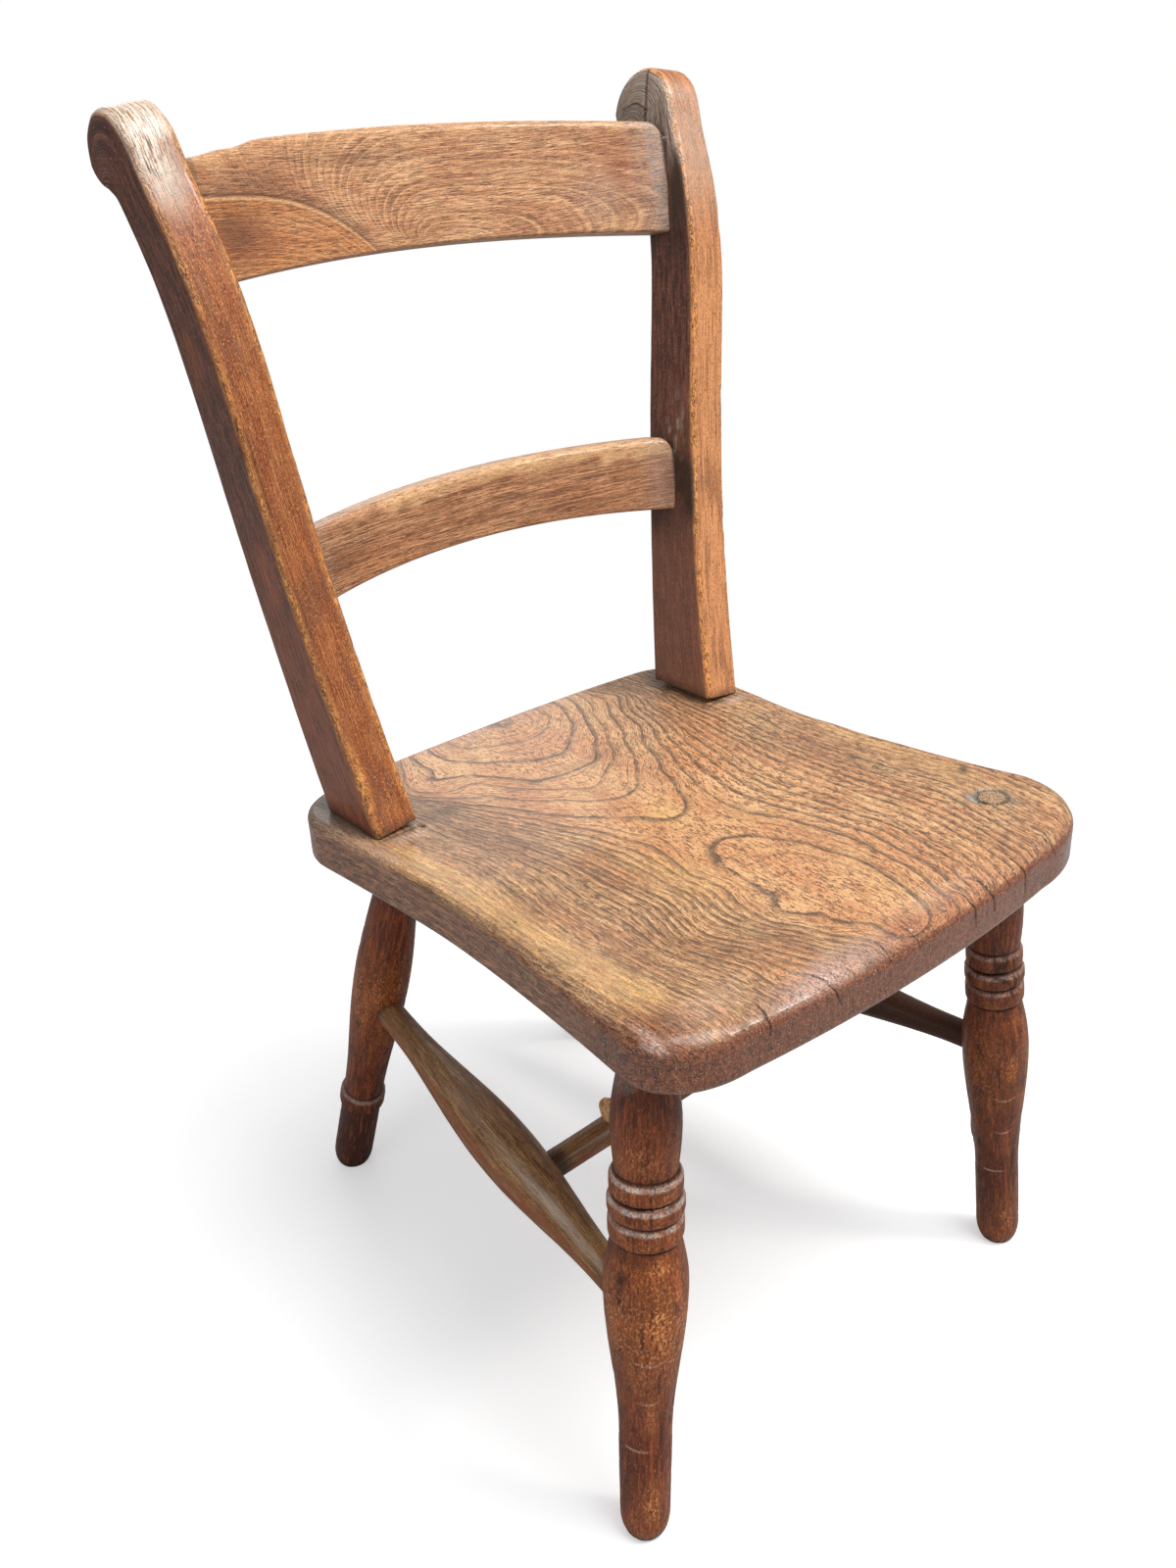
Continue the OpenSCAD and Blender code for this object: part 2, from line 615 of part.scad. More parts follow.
// Both rails as [height above the seat, height, distance in, tilt, bow, rise, grow, arch, crown]
TOP = [post_l - top_rail_drop, top_rail_h, top_rail_in, top_rail_tilt, top_rail_bow,
    top_rail_rise, top_rail_grow, top_rail_arch, top_rail_crown];
LOW = [low_rail_z, low_rail_h, low_rail_in, low_rail_tilt, low_rail_bow,
    low_rail_rise, low_rail_grow, low_rail_arch, low_rail_crown];
function inner_x(z) = post_out - post_w / cos(post_splay) + (z - seat_h) * tan(post_splay);

// Space between planes parallel to the posts' inner faces, moved out by a distance
module between_posts(out) {
    low = inner_x(seat_h) + out;
    high = inner_x(seat_h + REACH) + out;
    translate([0, REACH, seat_h]) rotate([90, 0, 0])
        linear_extrude(2 * REACH) polygon([[-low, 0], [low, 0], [high, REACH], [-high, REACH]]);
}

// A bent rail without ends, with its faces drawn in by thin and its edges by short
module rail_bar(rail, thin, short) {
    chord = inner_x(seat_h + rail[0] + rail[1] / 2);
    bow_r = (chord * chord + rail[4] * rail[4]) / (2 * rail[4]);
    reach = chord + rail_tenon_l + post_w;
    steps = 24;
    function at_right(x) = (chord - x) / (2 * chord);
    function low_edge(x) = rail[5] * at_right(x) + rail[7] * (1 - pow(x / chord, 2));
    function high_edge(x) = rail[1] + (rail[5] + rail[6]) * at_right(x) + rail[8] * (1 - pow(x / chord, 2));
    function past(x) = max(0, min(rail_corner, abs(x) - chord + rail_corner));
    function dip(x) = short > 0 ? 0 : rail_corner - sqrt(pow(rail_corner, 2) - pow(past(x), 2));
    xs = [for (i = [0:steps]) -reach + 2 * reach * i / steps];
    translate([0, y_post + rail[2], seat_h + rail[0]]) rotate([-rail[3], 0, 0]) intersection() {
        translate([0, rail[4] - bow_r, -REACH / 2]) difference() {
            cylinder(r = bow_r + rail_t - thin, h = REACH, $fn = FINE);
            translate([0, 0, -OVER]) cylinder(r = bow_r + thin, h = REACH + 2 * OVER, $fn = FINE);
        }
        translate([0, REACH / 2, 0]) rotate([90, 0, 0]) linear_extrude(REACH)
            polygon(concat(
                [for (x = xs) [x, low_edge(x) + short]],
                [for (i = [steps:-1:0]) [xs[i], high_edge(xs[i]) - short - dip(xs[i])]]));
    }
}

// The tenons of a rail, grown by a gap, as one bar from end to end
module rail_tenon(rail, gap) {
    intersection() {
        rail_bar(rail, (rail_t - rail_tenon_t) / 2 - gap, rail_tenon_step - gap);
        between_posts(rail_tenon_l + (gap > 0 ? end_gap : 0));
    }
}

module rail(rail) {
    color(rail_wood) union() {
        intersection() {
            rail_bar(rail, 0, 0);
            between_posts(0);
        }
        rail_tenon(rail, 0);
    }
}

seat();
front_leg(RIGHT);  // front_leg_right
front_leg(LEFT);  // front_leg_left
rear_leg(RIGHT);  // rear_leg_right
rear_leg(LEFT);  // rear_leg_left
side_stretcher(RIGHT);  // side_stretcher_right
side_stretcher(LEFT);  // side_stretcher_left
cross_stretcher();
stretcher_peg();
back_post(RIGHT);  // back_post_right
back_post(LEFT);  // back_post_left
post_wedges();
rail(TOP);  // top_rail
rail(LOW);  // lower_rail
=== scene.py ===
import math

import bmesh
import bpy
import numpy as np
from mathutils import Matrix


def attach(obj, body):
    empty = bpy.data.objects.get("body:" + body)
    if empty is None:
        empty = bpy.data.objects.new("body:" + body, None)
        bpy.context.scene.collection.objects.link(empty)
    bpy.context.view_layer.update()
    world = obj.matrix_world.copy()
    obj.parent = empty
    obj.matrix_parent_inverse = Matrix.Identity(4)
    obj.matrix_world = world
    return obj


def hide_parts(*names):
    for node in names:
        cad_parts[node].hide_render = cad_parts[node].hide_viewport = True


# Child's kitchen chair: an elm plank seat, turned beech legs and stretchers, scrolled posts and two bowed rails.
# Shapes are worked out in millimetres in the CAD frame, and become metres when a mesh is made.

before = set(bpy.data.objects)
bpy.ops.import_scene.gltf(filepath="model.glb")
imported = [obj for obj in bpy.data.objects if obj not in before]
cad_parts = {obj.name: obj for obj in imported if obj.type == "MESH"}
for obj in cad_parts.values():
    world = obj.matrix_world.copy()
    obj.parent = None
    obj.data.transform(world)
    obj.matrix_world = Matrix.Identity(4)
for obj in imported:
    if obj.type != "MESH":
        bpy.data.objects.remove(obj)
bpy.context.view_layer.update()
scene = bpy.context.scene

MM = 0.001
RIGHT, LEFT = -1, 1
TAG = {RIGHT: "right", LEFT: "left"}

# Sizes that part.scad also has
SEAT_TOP, SEAT_T = 300.0, 27.0
UNDER = SEAT_TOP - SEAT_T
Y_FRONT, Y_BACK, Y_POST = -192.5, 125.5, 49.0
BACK_CORNER, BACK_HALF, FRONT_BOW, BACK_BOW = 38.0, 141.5, 6.0, 4.5
# One side of the seat as half width at the waist, at the front corner, depth of that corner, waist's y
SEAT_SIDE = {RIGHT: (137.5, 148.5, 42.0, Y_BACK - 138), LEFT: (135.3, 157.0, 58.0, Y_BACK - 117)}
FRONT_TOP, FRONT_FOOT = np.array([122.5, -139.8, UNDER]), np.array([144.99, -151.91, 0.0])
REAR_TOP, REAR_FOOT = np.array([91.5, 85.5, UNDER]), np.array([101.8, 180.41, 0.0])
STRETCHER_H = {RIGHT: (149.5, 129.0), LEFT: (136.0, 141.0)}     # where it meets the rear leg and the front leg
CROSS_AT = 176.0
PEG_X, PEG_LEAN = -63.0, math.radians(12)
POST_OUT, POST_W, SPLAY = 129.0, 24.8, math.radians(7.08)
POST_FOOT, POST_L, POST_BACK = 47.0, 314.4, 63.3
SCROLL_R, TIP_R, SCROLL_DIP = 22.0, 8.0, 3.5
NOTCH = np.array([POST_BACK + 30, POST_L - 12.1])
RAIL_T = 16.0
# Height above the seat, height, distance in, tilt, bow, rise, grow, arch and crown
TOP_RAIL = (257.5, 57.5, 57.5, 11.0, 27.0, 5.3, 0.7, 9.5, 9.5)
LOW_RAIL = (108.0, 41.5, 39.0, 6.0, 22.0, 4.0, -5.0, 7.5, 5.2)


# Helpers for shapes

def hashed(ix, iy, iz, seed):
    """A repeatable number from -1 to 1 for each point of a lattice."""
    n = (ix * 374761393 + iy * 668265263 + iz * 1442695041 + seed * 974634777) & 0xFFFFFFFF
    n = ((n ^ (n >> 13)) * 1274126177) & 0xFFFFFFFF
    return ((n ^ (n >> 16)) & 0xFFFFFFFF) / 2147483648.0 - 1


def noise(points, size, seed):
    """Smooth noise from -1 to 1 with bumps of a size, one number or three, in millimetres."""
    q = np.asarray(points, float) / np.asarray(size, float)
    low = np.floor(q).astype(np.int64)
    t = q - low
    t = t * t * (3 - 2 * t)
    total = np.zeros(len(q))
    for corner in np.ndindex(2, 2, 2):
        total += np.prod(np.where(corner, t, 1 - t), axis=1) * hashed(*(low + corner).T, seed)
    return total


def held(values):
    return np.clip(values, 0, 1)


def most(*values):
    """The largest of several values at each place."""
    return np.maximum.reduce(np.broadcast_arrays(*values))


def smooth(x, low, high):
    t = held((x - low) / (high - low))
    return t * t * (3 - 2 * t)


def bump(x, centre, half):
    """A smooth hump from 0 up to 1 at centre and back, over half on each side."""
    return 1 - smooth(np.abs(np.asarray(x, float) - centre), 0, half)


def spot(a, b, centre, halves, turn=0.0):
    """A smooth round or oval hump over two coordinates."""
    da, db = a - centre[0], b - centre[1]
    c, s = math.cos(math.radians(turn)), math.sin(math.radians(turn))
    return 1 - smooth(np.hypot((da * c + db * s) / halves[0], (db * c - da * s) / halves[1]), 0, 1)


def ease(t):
    return 0.5 - 0.5 * np.cos(np.pi * t)


def crest(t):
    return 1 - np.cos(np.pi / 2 * t)


def rise(t):
    return np.sin(np.pi / 2 * t)


def sweep(a, b, n, share=ease):
    """n points on the way from a to b, where share says how far the second coordinate has come."""
    t = np.arange(1, n + 1) / n
    return np.stack([a[0] + (b[0] - a[0]) * t, a[1] + (b[1] - a[1]) * share(t)], 1)


def bead(at, h, r, groove, chamfer=3.0):
    """A turned bead between two narrow grooves, flat at the side and chamfered above."""
    return np.array([
        (at, r - groove), (at + 0.35, r - groove), (at + 0.6, r - 1.0), (at + 1.3, r - 0.35), (at + 2.6, r - 0.05),
        (at + h * 0.45, r), (at + h - chamfer - 0.6, r - 0.05), (at + h - chamfer, r - 0.3),
        (at + h - chamfer / 2, r - 1.1), (at + h - 0.7, r - 1.75), (at + h - 0.35, r - groove), (at + h, r - groove)])


def cubic(p, n):
    """n points of a cubic curve with four guide points."""
    p, t = np.asarray(p, float), np.linspace(0, 1, n)[:, None]
    return (1 - t) ** 3 * p[0] + 3 * (1 - t) ** 2 * t * p[1] + 3 * (1 - t) * t * t * p[2] + t ** 3 * p[3]


def arc(centre, radius, start, end, n):
    turn = np.linspace(start, end, n)
    return centre + radius * np.stack([np.cos(turn), np.sin(turn)], 1)


def resampled(line, step, closed=False):
    """The same line with evenly spaced points."""
    line = np.asarray(line, float)
    if closed:
        line = np.vstack([line, line[:1]])
    along = np.concatenate([[0], np.cumsum(np.linalg.norm(np.diff(line, axis=0), axis=1))])
    at = np.linspace(0, along[-1], max(2, int(round(along[-1] / step))) + 1)
    if closed:
        at = at[:-1]
    return np.stack([np.interp(at, along, line[:, k]) for k in range(line.shape[1])], 1)


def softened(line, width, closed=False):
    """The same points, each averaged with its neighbours."""
    weights = np.hanning(2 * width + 3)[1:-1]
    weights /= weights.sum()
    padded = np.pad(line, ((width, width), (0, 0)), mode="wrap" if closed else "edge")
    return np.stack([np.convolve(padded[:, k], weights, "valid") for k in range(line.shape[1])], 1)


def capped(values):
    """Values of rings, rows x around, in one list, with the means of the first and last ring for a tube's ends."""
    return np.concatenate([values.reshape(-1, *values.shape[2:]), [values[0].mean(0), values[-1].mean(0)]])


def tube(rings):
    """Points and faces of a closed tube through rings, an array of rows x around x 3."""
    rows, around = rings.shape[:2]
    i, j = np.meshgrid(np.arange(rows - 1) * around, np.arange(around), indexing="ij")
    k = (j + 1) % around
    quads = np.stack([i + j, i + k, i + around + k, i + around + j], -1)
    ring, last = np.arange(around), (rows - 1) * around
    after = (ring + 1) % around
    near = np.stack([ring, np.full(around, rows * around), after], 1)
    far = np.stack([last + after, np.full(around, rows * around + 1), last + ring], 1)
    return capped(rings), quads.reshape(-1, 4).tolist() + near.tolist() + far.tolist()


def rounded_box(span, depth, radii, counts, turns=9):
    """Sections of a bar with rounded arrises, as two arrays of rows x around.

    The first says how far a point lies along its row's span, the second how far across the depth. The arrises with
    their radii start at 0, 0 and go along the span first. counts has the points of the face after each arris.
    """
    turn = np.linspace(0, math.pi / 2, turns)
    less = (1 - np.cos(turn), 1 - np.sin(turn))
    arrises = []
    for k, radius in enumerate(radii):
        radius = np.broadcast_to(radius, len(span))[:, None]
        along, across = radius * less[k % 2], radius * less[1 - k % 2]
        arrises.append(np.stack([span[:, None] - along if k in (1, 2) else along,
                                 depth - across if k in (2, 3) else across], -1))
    parts = []
    for k, count in enumerate(counts):
        start, end = arrises[k][:, -1:], arrises[(k + 1) % 4][:, :1]
        parts += [arrises[k], start + (end - start) * np.linspace(0, 1, count)[1:-1, None]]
    return np.moveaxis(np.concatenate(parts, 1), -1, 0)


FREE_MARKS = ("ring", "light")      # numbers that aren't held between 0 and 1


def piece(name, points, faces, marks, material, nodes):
    """A mesh piece that stands for CAD nodes. marks are its per-vertex numbers and vectors."""
    mesh = bpy.data.meshes.new(name)
    mesh.from_pydata((points * MM).tolist(), [], faces)
    for key, value in marks.items():
        vector = np.ndim(value) == 2
        if not vector:
            value = np.broadcast_to(value if key in FREE_MARKS else held(value), len(points))
        layer = mesh.attributes.new(key, "FLOAT_VECTOR" if vector else "FLOAT", "POINT")
        layer.data.foreach_set("vector" if vector else "value", value.astype(np.float32).ravel())
    made = bmesh.new()
    made.from_mesh(mesh)
    bmesh.ops.remove_doubles(made, verts=made.verts, dist=1e-6)
    bmesh.ops.recalc_face_normals(made, faces=made.faces)
    made.to_mesh(mesh)
    made.free()
    mesh.shade_smooth()
    mesh.materials.append(material)
    shown = bpy.data.objects.new(name, mesh)
    scene.collection.objects.link(shown)
    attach(shown, "root")
    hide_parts(*nodes)


# Materials

def srgb(rgb):
    """A colour given as 0 to 255 values, as a shader's linear colour."""
    c = np.array(rgb) / 255.0
    return (*np.where(c <= 0.04045, c / 12.92, ((c + 0.055) / 1.055) ** 2.4).tolist(), 1.0)


class Value:
    """A node's output, which can be added, taken away and multiplied."""

    def __init__(self, graph, socket):
        self.graph, self.socket = graph, socket

    def __add__(self, other):
        return self.graph.math("ADD", self, other)

    def __sub__(self, other):
        return self.graph.math("SUBTRACT", self, other)

    def __rsub__(self, other):
        return self.graph.math("SUBTRACT", other, self)

    def __mul__(self, other):
        return self.graph.math("MULTIPLY", self, other)

    __radd__, __rmul__ = __add__, __mul__


class Graph:
    """The nodes of a material or of the world. Each method adds a node and gives its output."""

    def __init__(self, owner):
        owner.use_nodes = True
        self.nodes, self.links = owner.node_tree.nodes, owner.node_tree.links

    def put(self, socket, value):
        if isinstance(value, Value):
            self.links.new(value.socket, socket)
        else:
            socket.default_value = value

    def node(self, kind, out, ins=None, **settings):
        made = self.nodes.new("ShaderNode" + kind)
        for key, value in settings.items():
            setattr(made, key, value)
        for key, value in (ins or {}).items():
            self.put(made.inputs[key], value)
        return Value(self, made.outputs[out])

    def math(self, kind, a, b=0.0):
        return self.node("Math", 0, {0: a, 1: b}, operation=kind)

    def step(self, value, low, high, out_low=0.0, out_high=1.0):
        ins = {"Value": value, "From Min": low, "From Max": high, "To Min": out_low, "To Max": out_high}
        return self.node("MapRange", "Result", ins, interpolation_type="SMOOTHSTEP")

    def surface(self, kind, shader):
        self.links.new(shader.socket, self.nodes.new("ShaderNodeOutput" + kind).inputs["Surface"])


class Wood(Graph):
    """A wood's material. Sizes of its patterns are in millimetres: across, deep and along the grain.

    A drawn piece carries its grain as a mark, and a CAD solid takes it from its own coordinates.
    """

    def __init__(self, name, drawn=True):
        self.material = bpy.data.materials.new(name)
        super().__init__(self.material)
        self.grain = self.mark("grain", "Vector") if drawn \
            else self.scaled(self.node("TexCoord", "Object"), 1 / MM, 1 / MM, 1 / MM)

    def mark(self, name, out="Fac"):
        return self.node("Attribute", out, attribute_name=name)

    def marks(self, *names):
        return [self.mark(name) for name in names]

    def scaled(self, vector, *scale):
        return self.node("VectorMath", 0, {0: vector, 1: scale}, operation="MULTIPLY")

    def noise(self, size, detail=2.0, rough=0.55, at=None, shift=1):
        """Noise in the grain, or at other coordinates. A shift other than 1 makes it differ from its like."""
        at = at or self.grain
        if shift != 1:
            at = self.scaled(at, shift, shift, shift)
        return self.node("TexNoise", "Fac", {
            "Vector": self.scaled(at, *(1 / s for s in size)), "Scale": 1.0, "Detail": detail, "Roughness": rough})

    def flecks(self, size, low, high, share=1.0, detail=2.0, rough=0.6, at=None, shift=1):
        """Marks of a size where noise is above low, full at high."""
        return self.step(self.noise(size, detail, rough, at, shift), low, high, 0.0, share)

    def jitter(self, size, amount, detail=2.0):
        """Noise of a size, from -amount to amount."""
        return (self.noise(size, detail) - 0.5) * (2 * amount)

    def mix(self, share, a, b, blend="MIX"):
        """A mix of two outputs or colours, which are given as 0 to 255 values."""
        a, b = (v if isinstance(v, Value) else srgb(v) for v in (a, b))
        return self.node("Mix", 2, {"Factor": share, 6: a, 7: b}, data_type="RGBA", blend_type=blend)

    def layers(self, base, *coats):
        """The base under coats that are laid on in turn, each a share and a colour."""
        for share, colour in coats:
            base = self.mix(share, base, colour)
        return base

    def years(self, value):
        """How far through its year a place is, and a random number for that year."""
        year = self.math("FLOOR", value)
        return self.math("FRACT", value), self.node("TexWhiteNoise", "Value", {"W": year}, noise_dimensions="1D")

    def along(self, flow):
        """The first part of a vector, which counts the years."""
        return self.node("SeparateXYZ", 0, {0: flow})

    def roughness(self, size, low, high):
        return self.step(self.noise(size, 3, 0.6), 0.3, 0.7, low, high)

    def grit(self, colour):
        """Fine pores and specks that darken and lighten the colour a little."""
        return self.mix(1.0, colour, self.step(self.noise((0.5, 0.5, 1.0), 2, 0.75), 0.36, 0.64, 0.72, 1.09),
                        "MULTIPLY")

    def finish(self, colour, rough, height, depth, coat=0.0, coat_rough=0.3, specular=0.5):
        """The material, with a relief of a depth in millimetres."""
        relief = self.node("Bump", "Normal", {"Strength": 1.0, "Distance": depth * MM, "Height": height})
        for key, value in (("Base Color", colour), ("Roughness", rough), ("Specular IOR Level", specular),
                           ("Coat Weight", coat), ("Coat Roughness", coat_rough), ("Normal", relief)):
            self.put(self.nodes["Principled BSDF"].inputs[key], value)
        return self.material


def seat_material():
    w = Wood("elm_seat")
    flow, ring, pitch = w.mark("flow", "Vector"), w.mark("ring"), w.mark("pitch")
    gold, worn, grime_and_shade, dark, scuff_and_sheen, warm = w.marks("gold", "worn", "grime_and_shade", "dark", "scuff_and_sheen", "warm")
    # Waver of the years' lines in millimetres, so that it stays small where they lie far apart
    part, luck = w.years(ring + (w.jitter((17, 17, 42), 1.9) + w.jitter((4.5, 4.5, 9), 0.55)) * pitch)
    away, before = w.math("DIVIDE", part, pitch), w.math("DIVIDE", 1 - part, pitch)
    strength = w.step(luck, 0.0, 0.9, 0.5, 0.88)
    main = w.math("MAXIMUM", w.step(away, 0.6, 3.0, 1.0, 0.0), w.step(before, 0.1, 0.7, 1.0, 0.0)) * strength
    band = w.step(away, 1.2, 5.0, 1.0, 0.0) * strength * w.flecks((6, 6, 22), 0.36, 0.6)
    # Thin lines between them
    part, luck = w.years(w.along(flow) + w.jitter((4.5, 4.5, 12), 0.22))
    thin = w.step(part, 0.02, 0.42, 1.0, 0.0) * w.step(luck, 0.1, 1.0, 0.12, 0.85)
    thin = thin * (0.3 + 0.7 * w.flecks((9, 9, 26), 0.34, 0.58))
    line = w.math("MAXIMUM", main, thin) * (0.45 + 0.55 * w.flecks((0.5, 7, 7), 0.40, 0.56, at=flow))
    calm = 1 - 0.55 * gold
    # Where the years lie far apart the fine marks run with the plank instead
    near = w.step(pitch, 0.035, 0.085)
    ticks = calm * w.mix(near, w.flecks((0.7, 0.7, 3.2), 0.53, 0.60, 0.8),
                         w.flecks((0.2, 4.5, 4.5), 0.52, 0.59, 0.8, at=flow))
    pale = w.mix(near, w.flecks((0.8, 0.8, 4), 0.55, 0.64, 0.5),
                 w.flecks((0.24, 6.5, 6.5), 0.53, 0.62, 0.5, at=flow, shift=1.07))
    base = w.layers(
        w.mix(w.flecks((28, 28, 60), 0.40, 0.62, detail=3), (231, 163, 111), (248, 192, 135)),
        (w.flecks((5, 5, 20), 0.52, 0.66, 0.45, 3), (200, 126, 82)),
        (gold * w.flecks((2.2, 2.2, 20), 0.34, 0.54, 0.95), (255, 203, 128)),
        (pale, (255, 214, 166)), (band * 0.65, (154, 124, 94)), (ticks, (116, 76, 54)), (line * calm, (92, 76, 62)),
        (w.flecks((0.5, 0.5, 0.9), 0.55, 0.62, 0.7), (104, 72, 54)),
        (worn * w.flecks((1.4, 1.4, 3), 0.38, 0.6), (232, 176, 122)))
    # Red-brown varnish left on the corner and the rolled front edge
    tint = w.mark("tint") * w.flecks((2, 2, 7), 0.22, 0.5, detail=3)
    base = w.mix(tint, base, (208, 178, 160), "MULTIPLY")
    # Old finish left dark on the sides, in patches and round the joints. The front is end grain with upright lines
    skin = w.layers(
        w.mix(w.flecks((1.5, 1.5, 9), 0.36, 0.64, detail=3), (142, 90, 63), (222, 155, 109)),
        (warm, w.mix(w.flecks((1.5, 1.5, 5), 0.36, 0.64, detail=3), (118, 62, 40), (170, 100, 64))),
        (line * (1 - 0.75 * warm) * 0.6, (48, 30, 24)),
        (w.mix(warm, w.flecks((0.9, 0.9, 7), 0.50, 0.60, 0.65), w.flecks((0.6, 5.0, 3.0), 0.52, 0.62, 0.7)),
         (54, 32, 24)),
        (w.mix(warm, w.flecks((0.9, 0.9, 3.0), 0.57, 0.65, 0.6, shift=1.1),
               w.flecks((0.6, 1.3, 1.3), 0.57, 0.65, 0.5, shift=1.1)), (222, 148, 98)))
    share = w.step(dark + w.jitter((2.4, 2.4, 6.0), 0.42, 3), 0.36, 0.60) * w.step(dark, 0.02, 0.25)
    dirt = grime_and_shade * w.flecks((1.0, 1.0, 1.5), 0.3, 0.58, detail=3, rough=0.7)
    base = w.layers(
        base, (share, skin), (dirt * 0.55 + grime_and_shade * 0.4, (62, 58, 52)),
        (w.mark("halo") * w.flecks((1.2, 1.2, 1.8), 0.34, 0.56, detail=3) * 0.8, (132, 138, 134)),
        # Pale scuffs, and a painted highlight with glints on the rolled front edge and the near corner
        (scuff_and_sheen * w.flecks((0.9, 0.9, 2.4), 0.34, 0.62, 0.85, 3, 0.7), (228, 200, 188)),
        (w.flecks((0.8, 0.8, 1.3), 0.63, 0.69, 0.6), (250, 216, 176)))
    height = 0.9 * w.noise((0.7, 0.7, 1.8), 3, 0.65) - (line * 0.8 + ticks * 0.5)
    coat = 0.35 + 0.6 * w.math("MAXIMUM", share, scuff_and_sheen)
    return w.finish(w.grit(base), w.roughness((3, 3, 8), 0.26, 0.42) + (line + dirt) * 0.25, height, 0.40, coat,
                    0.15, 0.4)


def stained(name, low, high, deep, bare, streak, fleck, depth=0.75):
    """Start of a stained and varnished beech: two tones, deep streaks and pores, and bare flecks."""
    w = Wood(name)
    flecks = w.flecks((0.8, 0.8, 2.0), 0.57, 0.66, shift=1.1)
    return w, flecks, w.layers(
        w.mix(w.flecks((5, 5, 26), 0.36, 0.64, detail=3), low, high), (w.flecks(streak, 0.47, 0.60, depth, 1), deep),
        (w.flecks((0.6, 0.6, 7), 0.54, 0.62, depth - 0.1, 1), deep), (flecks * fleck, bare))


def leg_material():
    w, flecks, base = stained("turned_beech", (118, 54, 31), (168, 86, 48), (60, 27, 17), (226, 138, 80),
                              (0.7, 0.7, 18), 0.6, 0.55)
    worn, grime_and_shade, dust_and_sheen, zone, end = w.marks("worn", "grime_and_shade", "dust_and_sheen", "zone", "end")
    rub = worn * w.flecks((3.0, 3.0, 13), 0.34, 0.56, detail=3)
    end_grain = w.layers(w.mix(w.flecks((1.0, 1.0, 1.0), 0.4, 0.6), (150, 116, 88), (206, 166, 126)),
                         (w.flecks((0.7, 0.7, 0.7), 0.55, 0.64, 0.8), (84, 66, 54)))
    base = w.layers(
        # Darker brown: painted shade over the whole left front leg, and darker tops and rear feet
        base, (zone * 0.8, (74, 42, 36)), (w.flecks((2.6, 2.6, 22), 0.50, 0.64, 0.5, 3), (66, 30, 20)),
        (w.flecks((2.4, 2.4, 20), 0.54, 0.66, 0.6, shift=1.3), (190, 100, 54)), (rub * 0.85, (214, 120, 60)),
        (rub * w.flecks((1.0, 1.0, 8), 0.50, 0.60, 0.85), (92, 40, 20)),
        (worn * w.flecks((1.1, 1.1, 1.9), 0.545, 0.59) * 0.95, (250, 178, 112)),
        # Pale grey: dust, and a painted highlight on the beads' upper chamfers
        (dust_and_sheen * w.flecks((1.0, 1.0, 1.2), 0.34, 0.58, detail=3, rough=0.7) * 0.95, (226, 210, 196)),
        # Near black: painted shade in the grooves, and dirt
        (grime_and_shade * 0.94, (18, 11, 9)), (end, end_grain))
    return w.finish(w.grit(base), w.roughness((2, 2, 7), 0.26, 0.44) + end * 0.2,
                    w.noise((0.8, 0.8, 2.4), 3, 0.65) - flecks * 0.5, 0.30,
                    w.math("MINIMUM", 0.2 + dust_and_sheen, 1.0), 0.14, 0.25)


def stretcher_material():
    w, flecks, base = stained("stretcher_beech", (170, 122, 80), (204, 158, 108), (112, 76, 48), (236, 184, 130),
                              (0.6, 0.6, 26), 0.4)
    worn, grime_and_shade, zone, under = w.marks("worn", "grime_and_shade", "zone", "under")
    base = w.layers(
        # Red-brown underneath; dark brown as painted shade over the whole left stretcher, and a darker band by the
        # front leg
        base, (under * w.flecks((2, 2, 24), 0.34, 0.58) * 0.85, (164, 86, 52)), (zone * 0.95, (70, 38, 26)),
        # A painted highlight whitens the ridge; the darkest coat is painted shade on the side stretchers' undersides,
        # with dirt at the ends
        (worn * w.flecks((1.6, 1.6, 18), 0.24, 0.56, detail=3), (240, 220, 202)), (grime_and_shade * 0.9, (30, 22, 17)))
    return w.finish(w.grit(base), w.roughness((2, 2, 9), 0.30, 0.48),
                    w.noise((0.8, 0.8, 4), 3, 0.65) - flecks * 0.5, 0.26, 0.15, 0.2, 0.25)


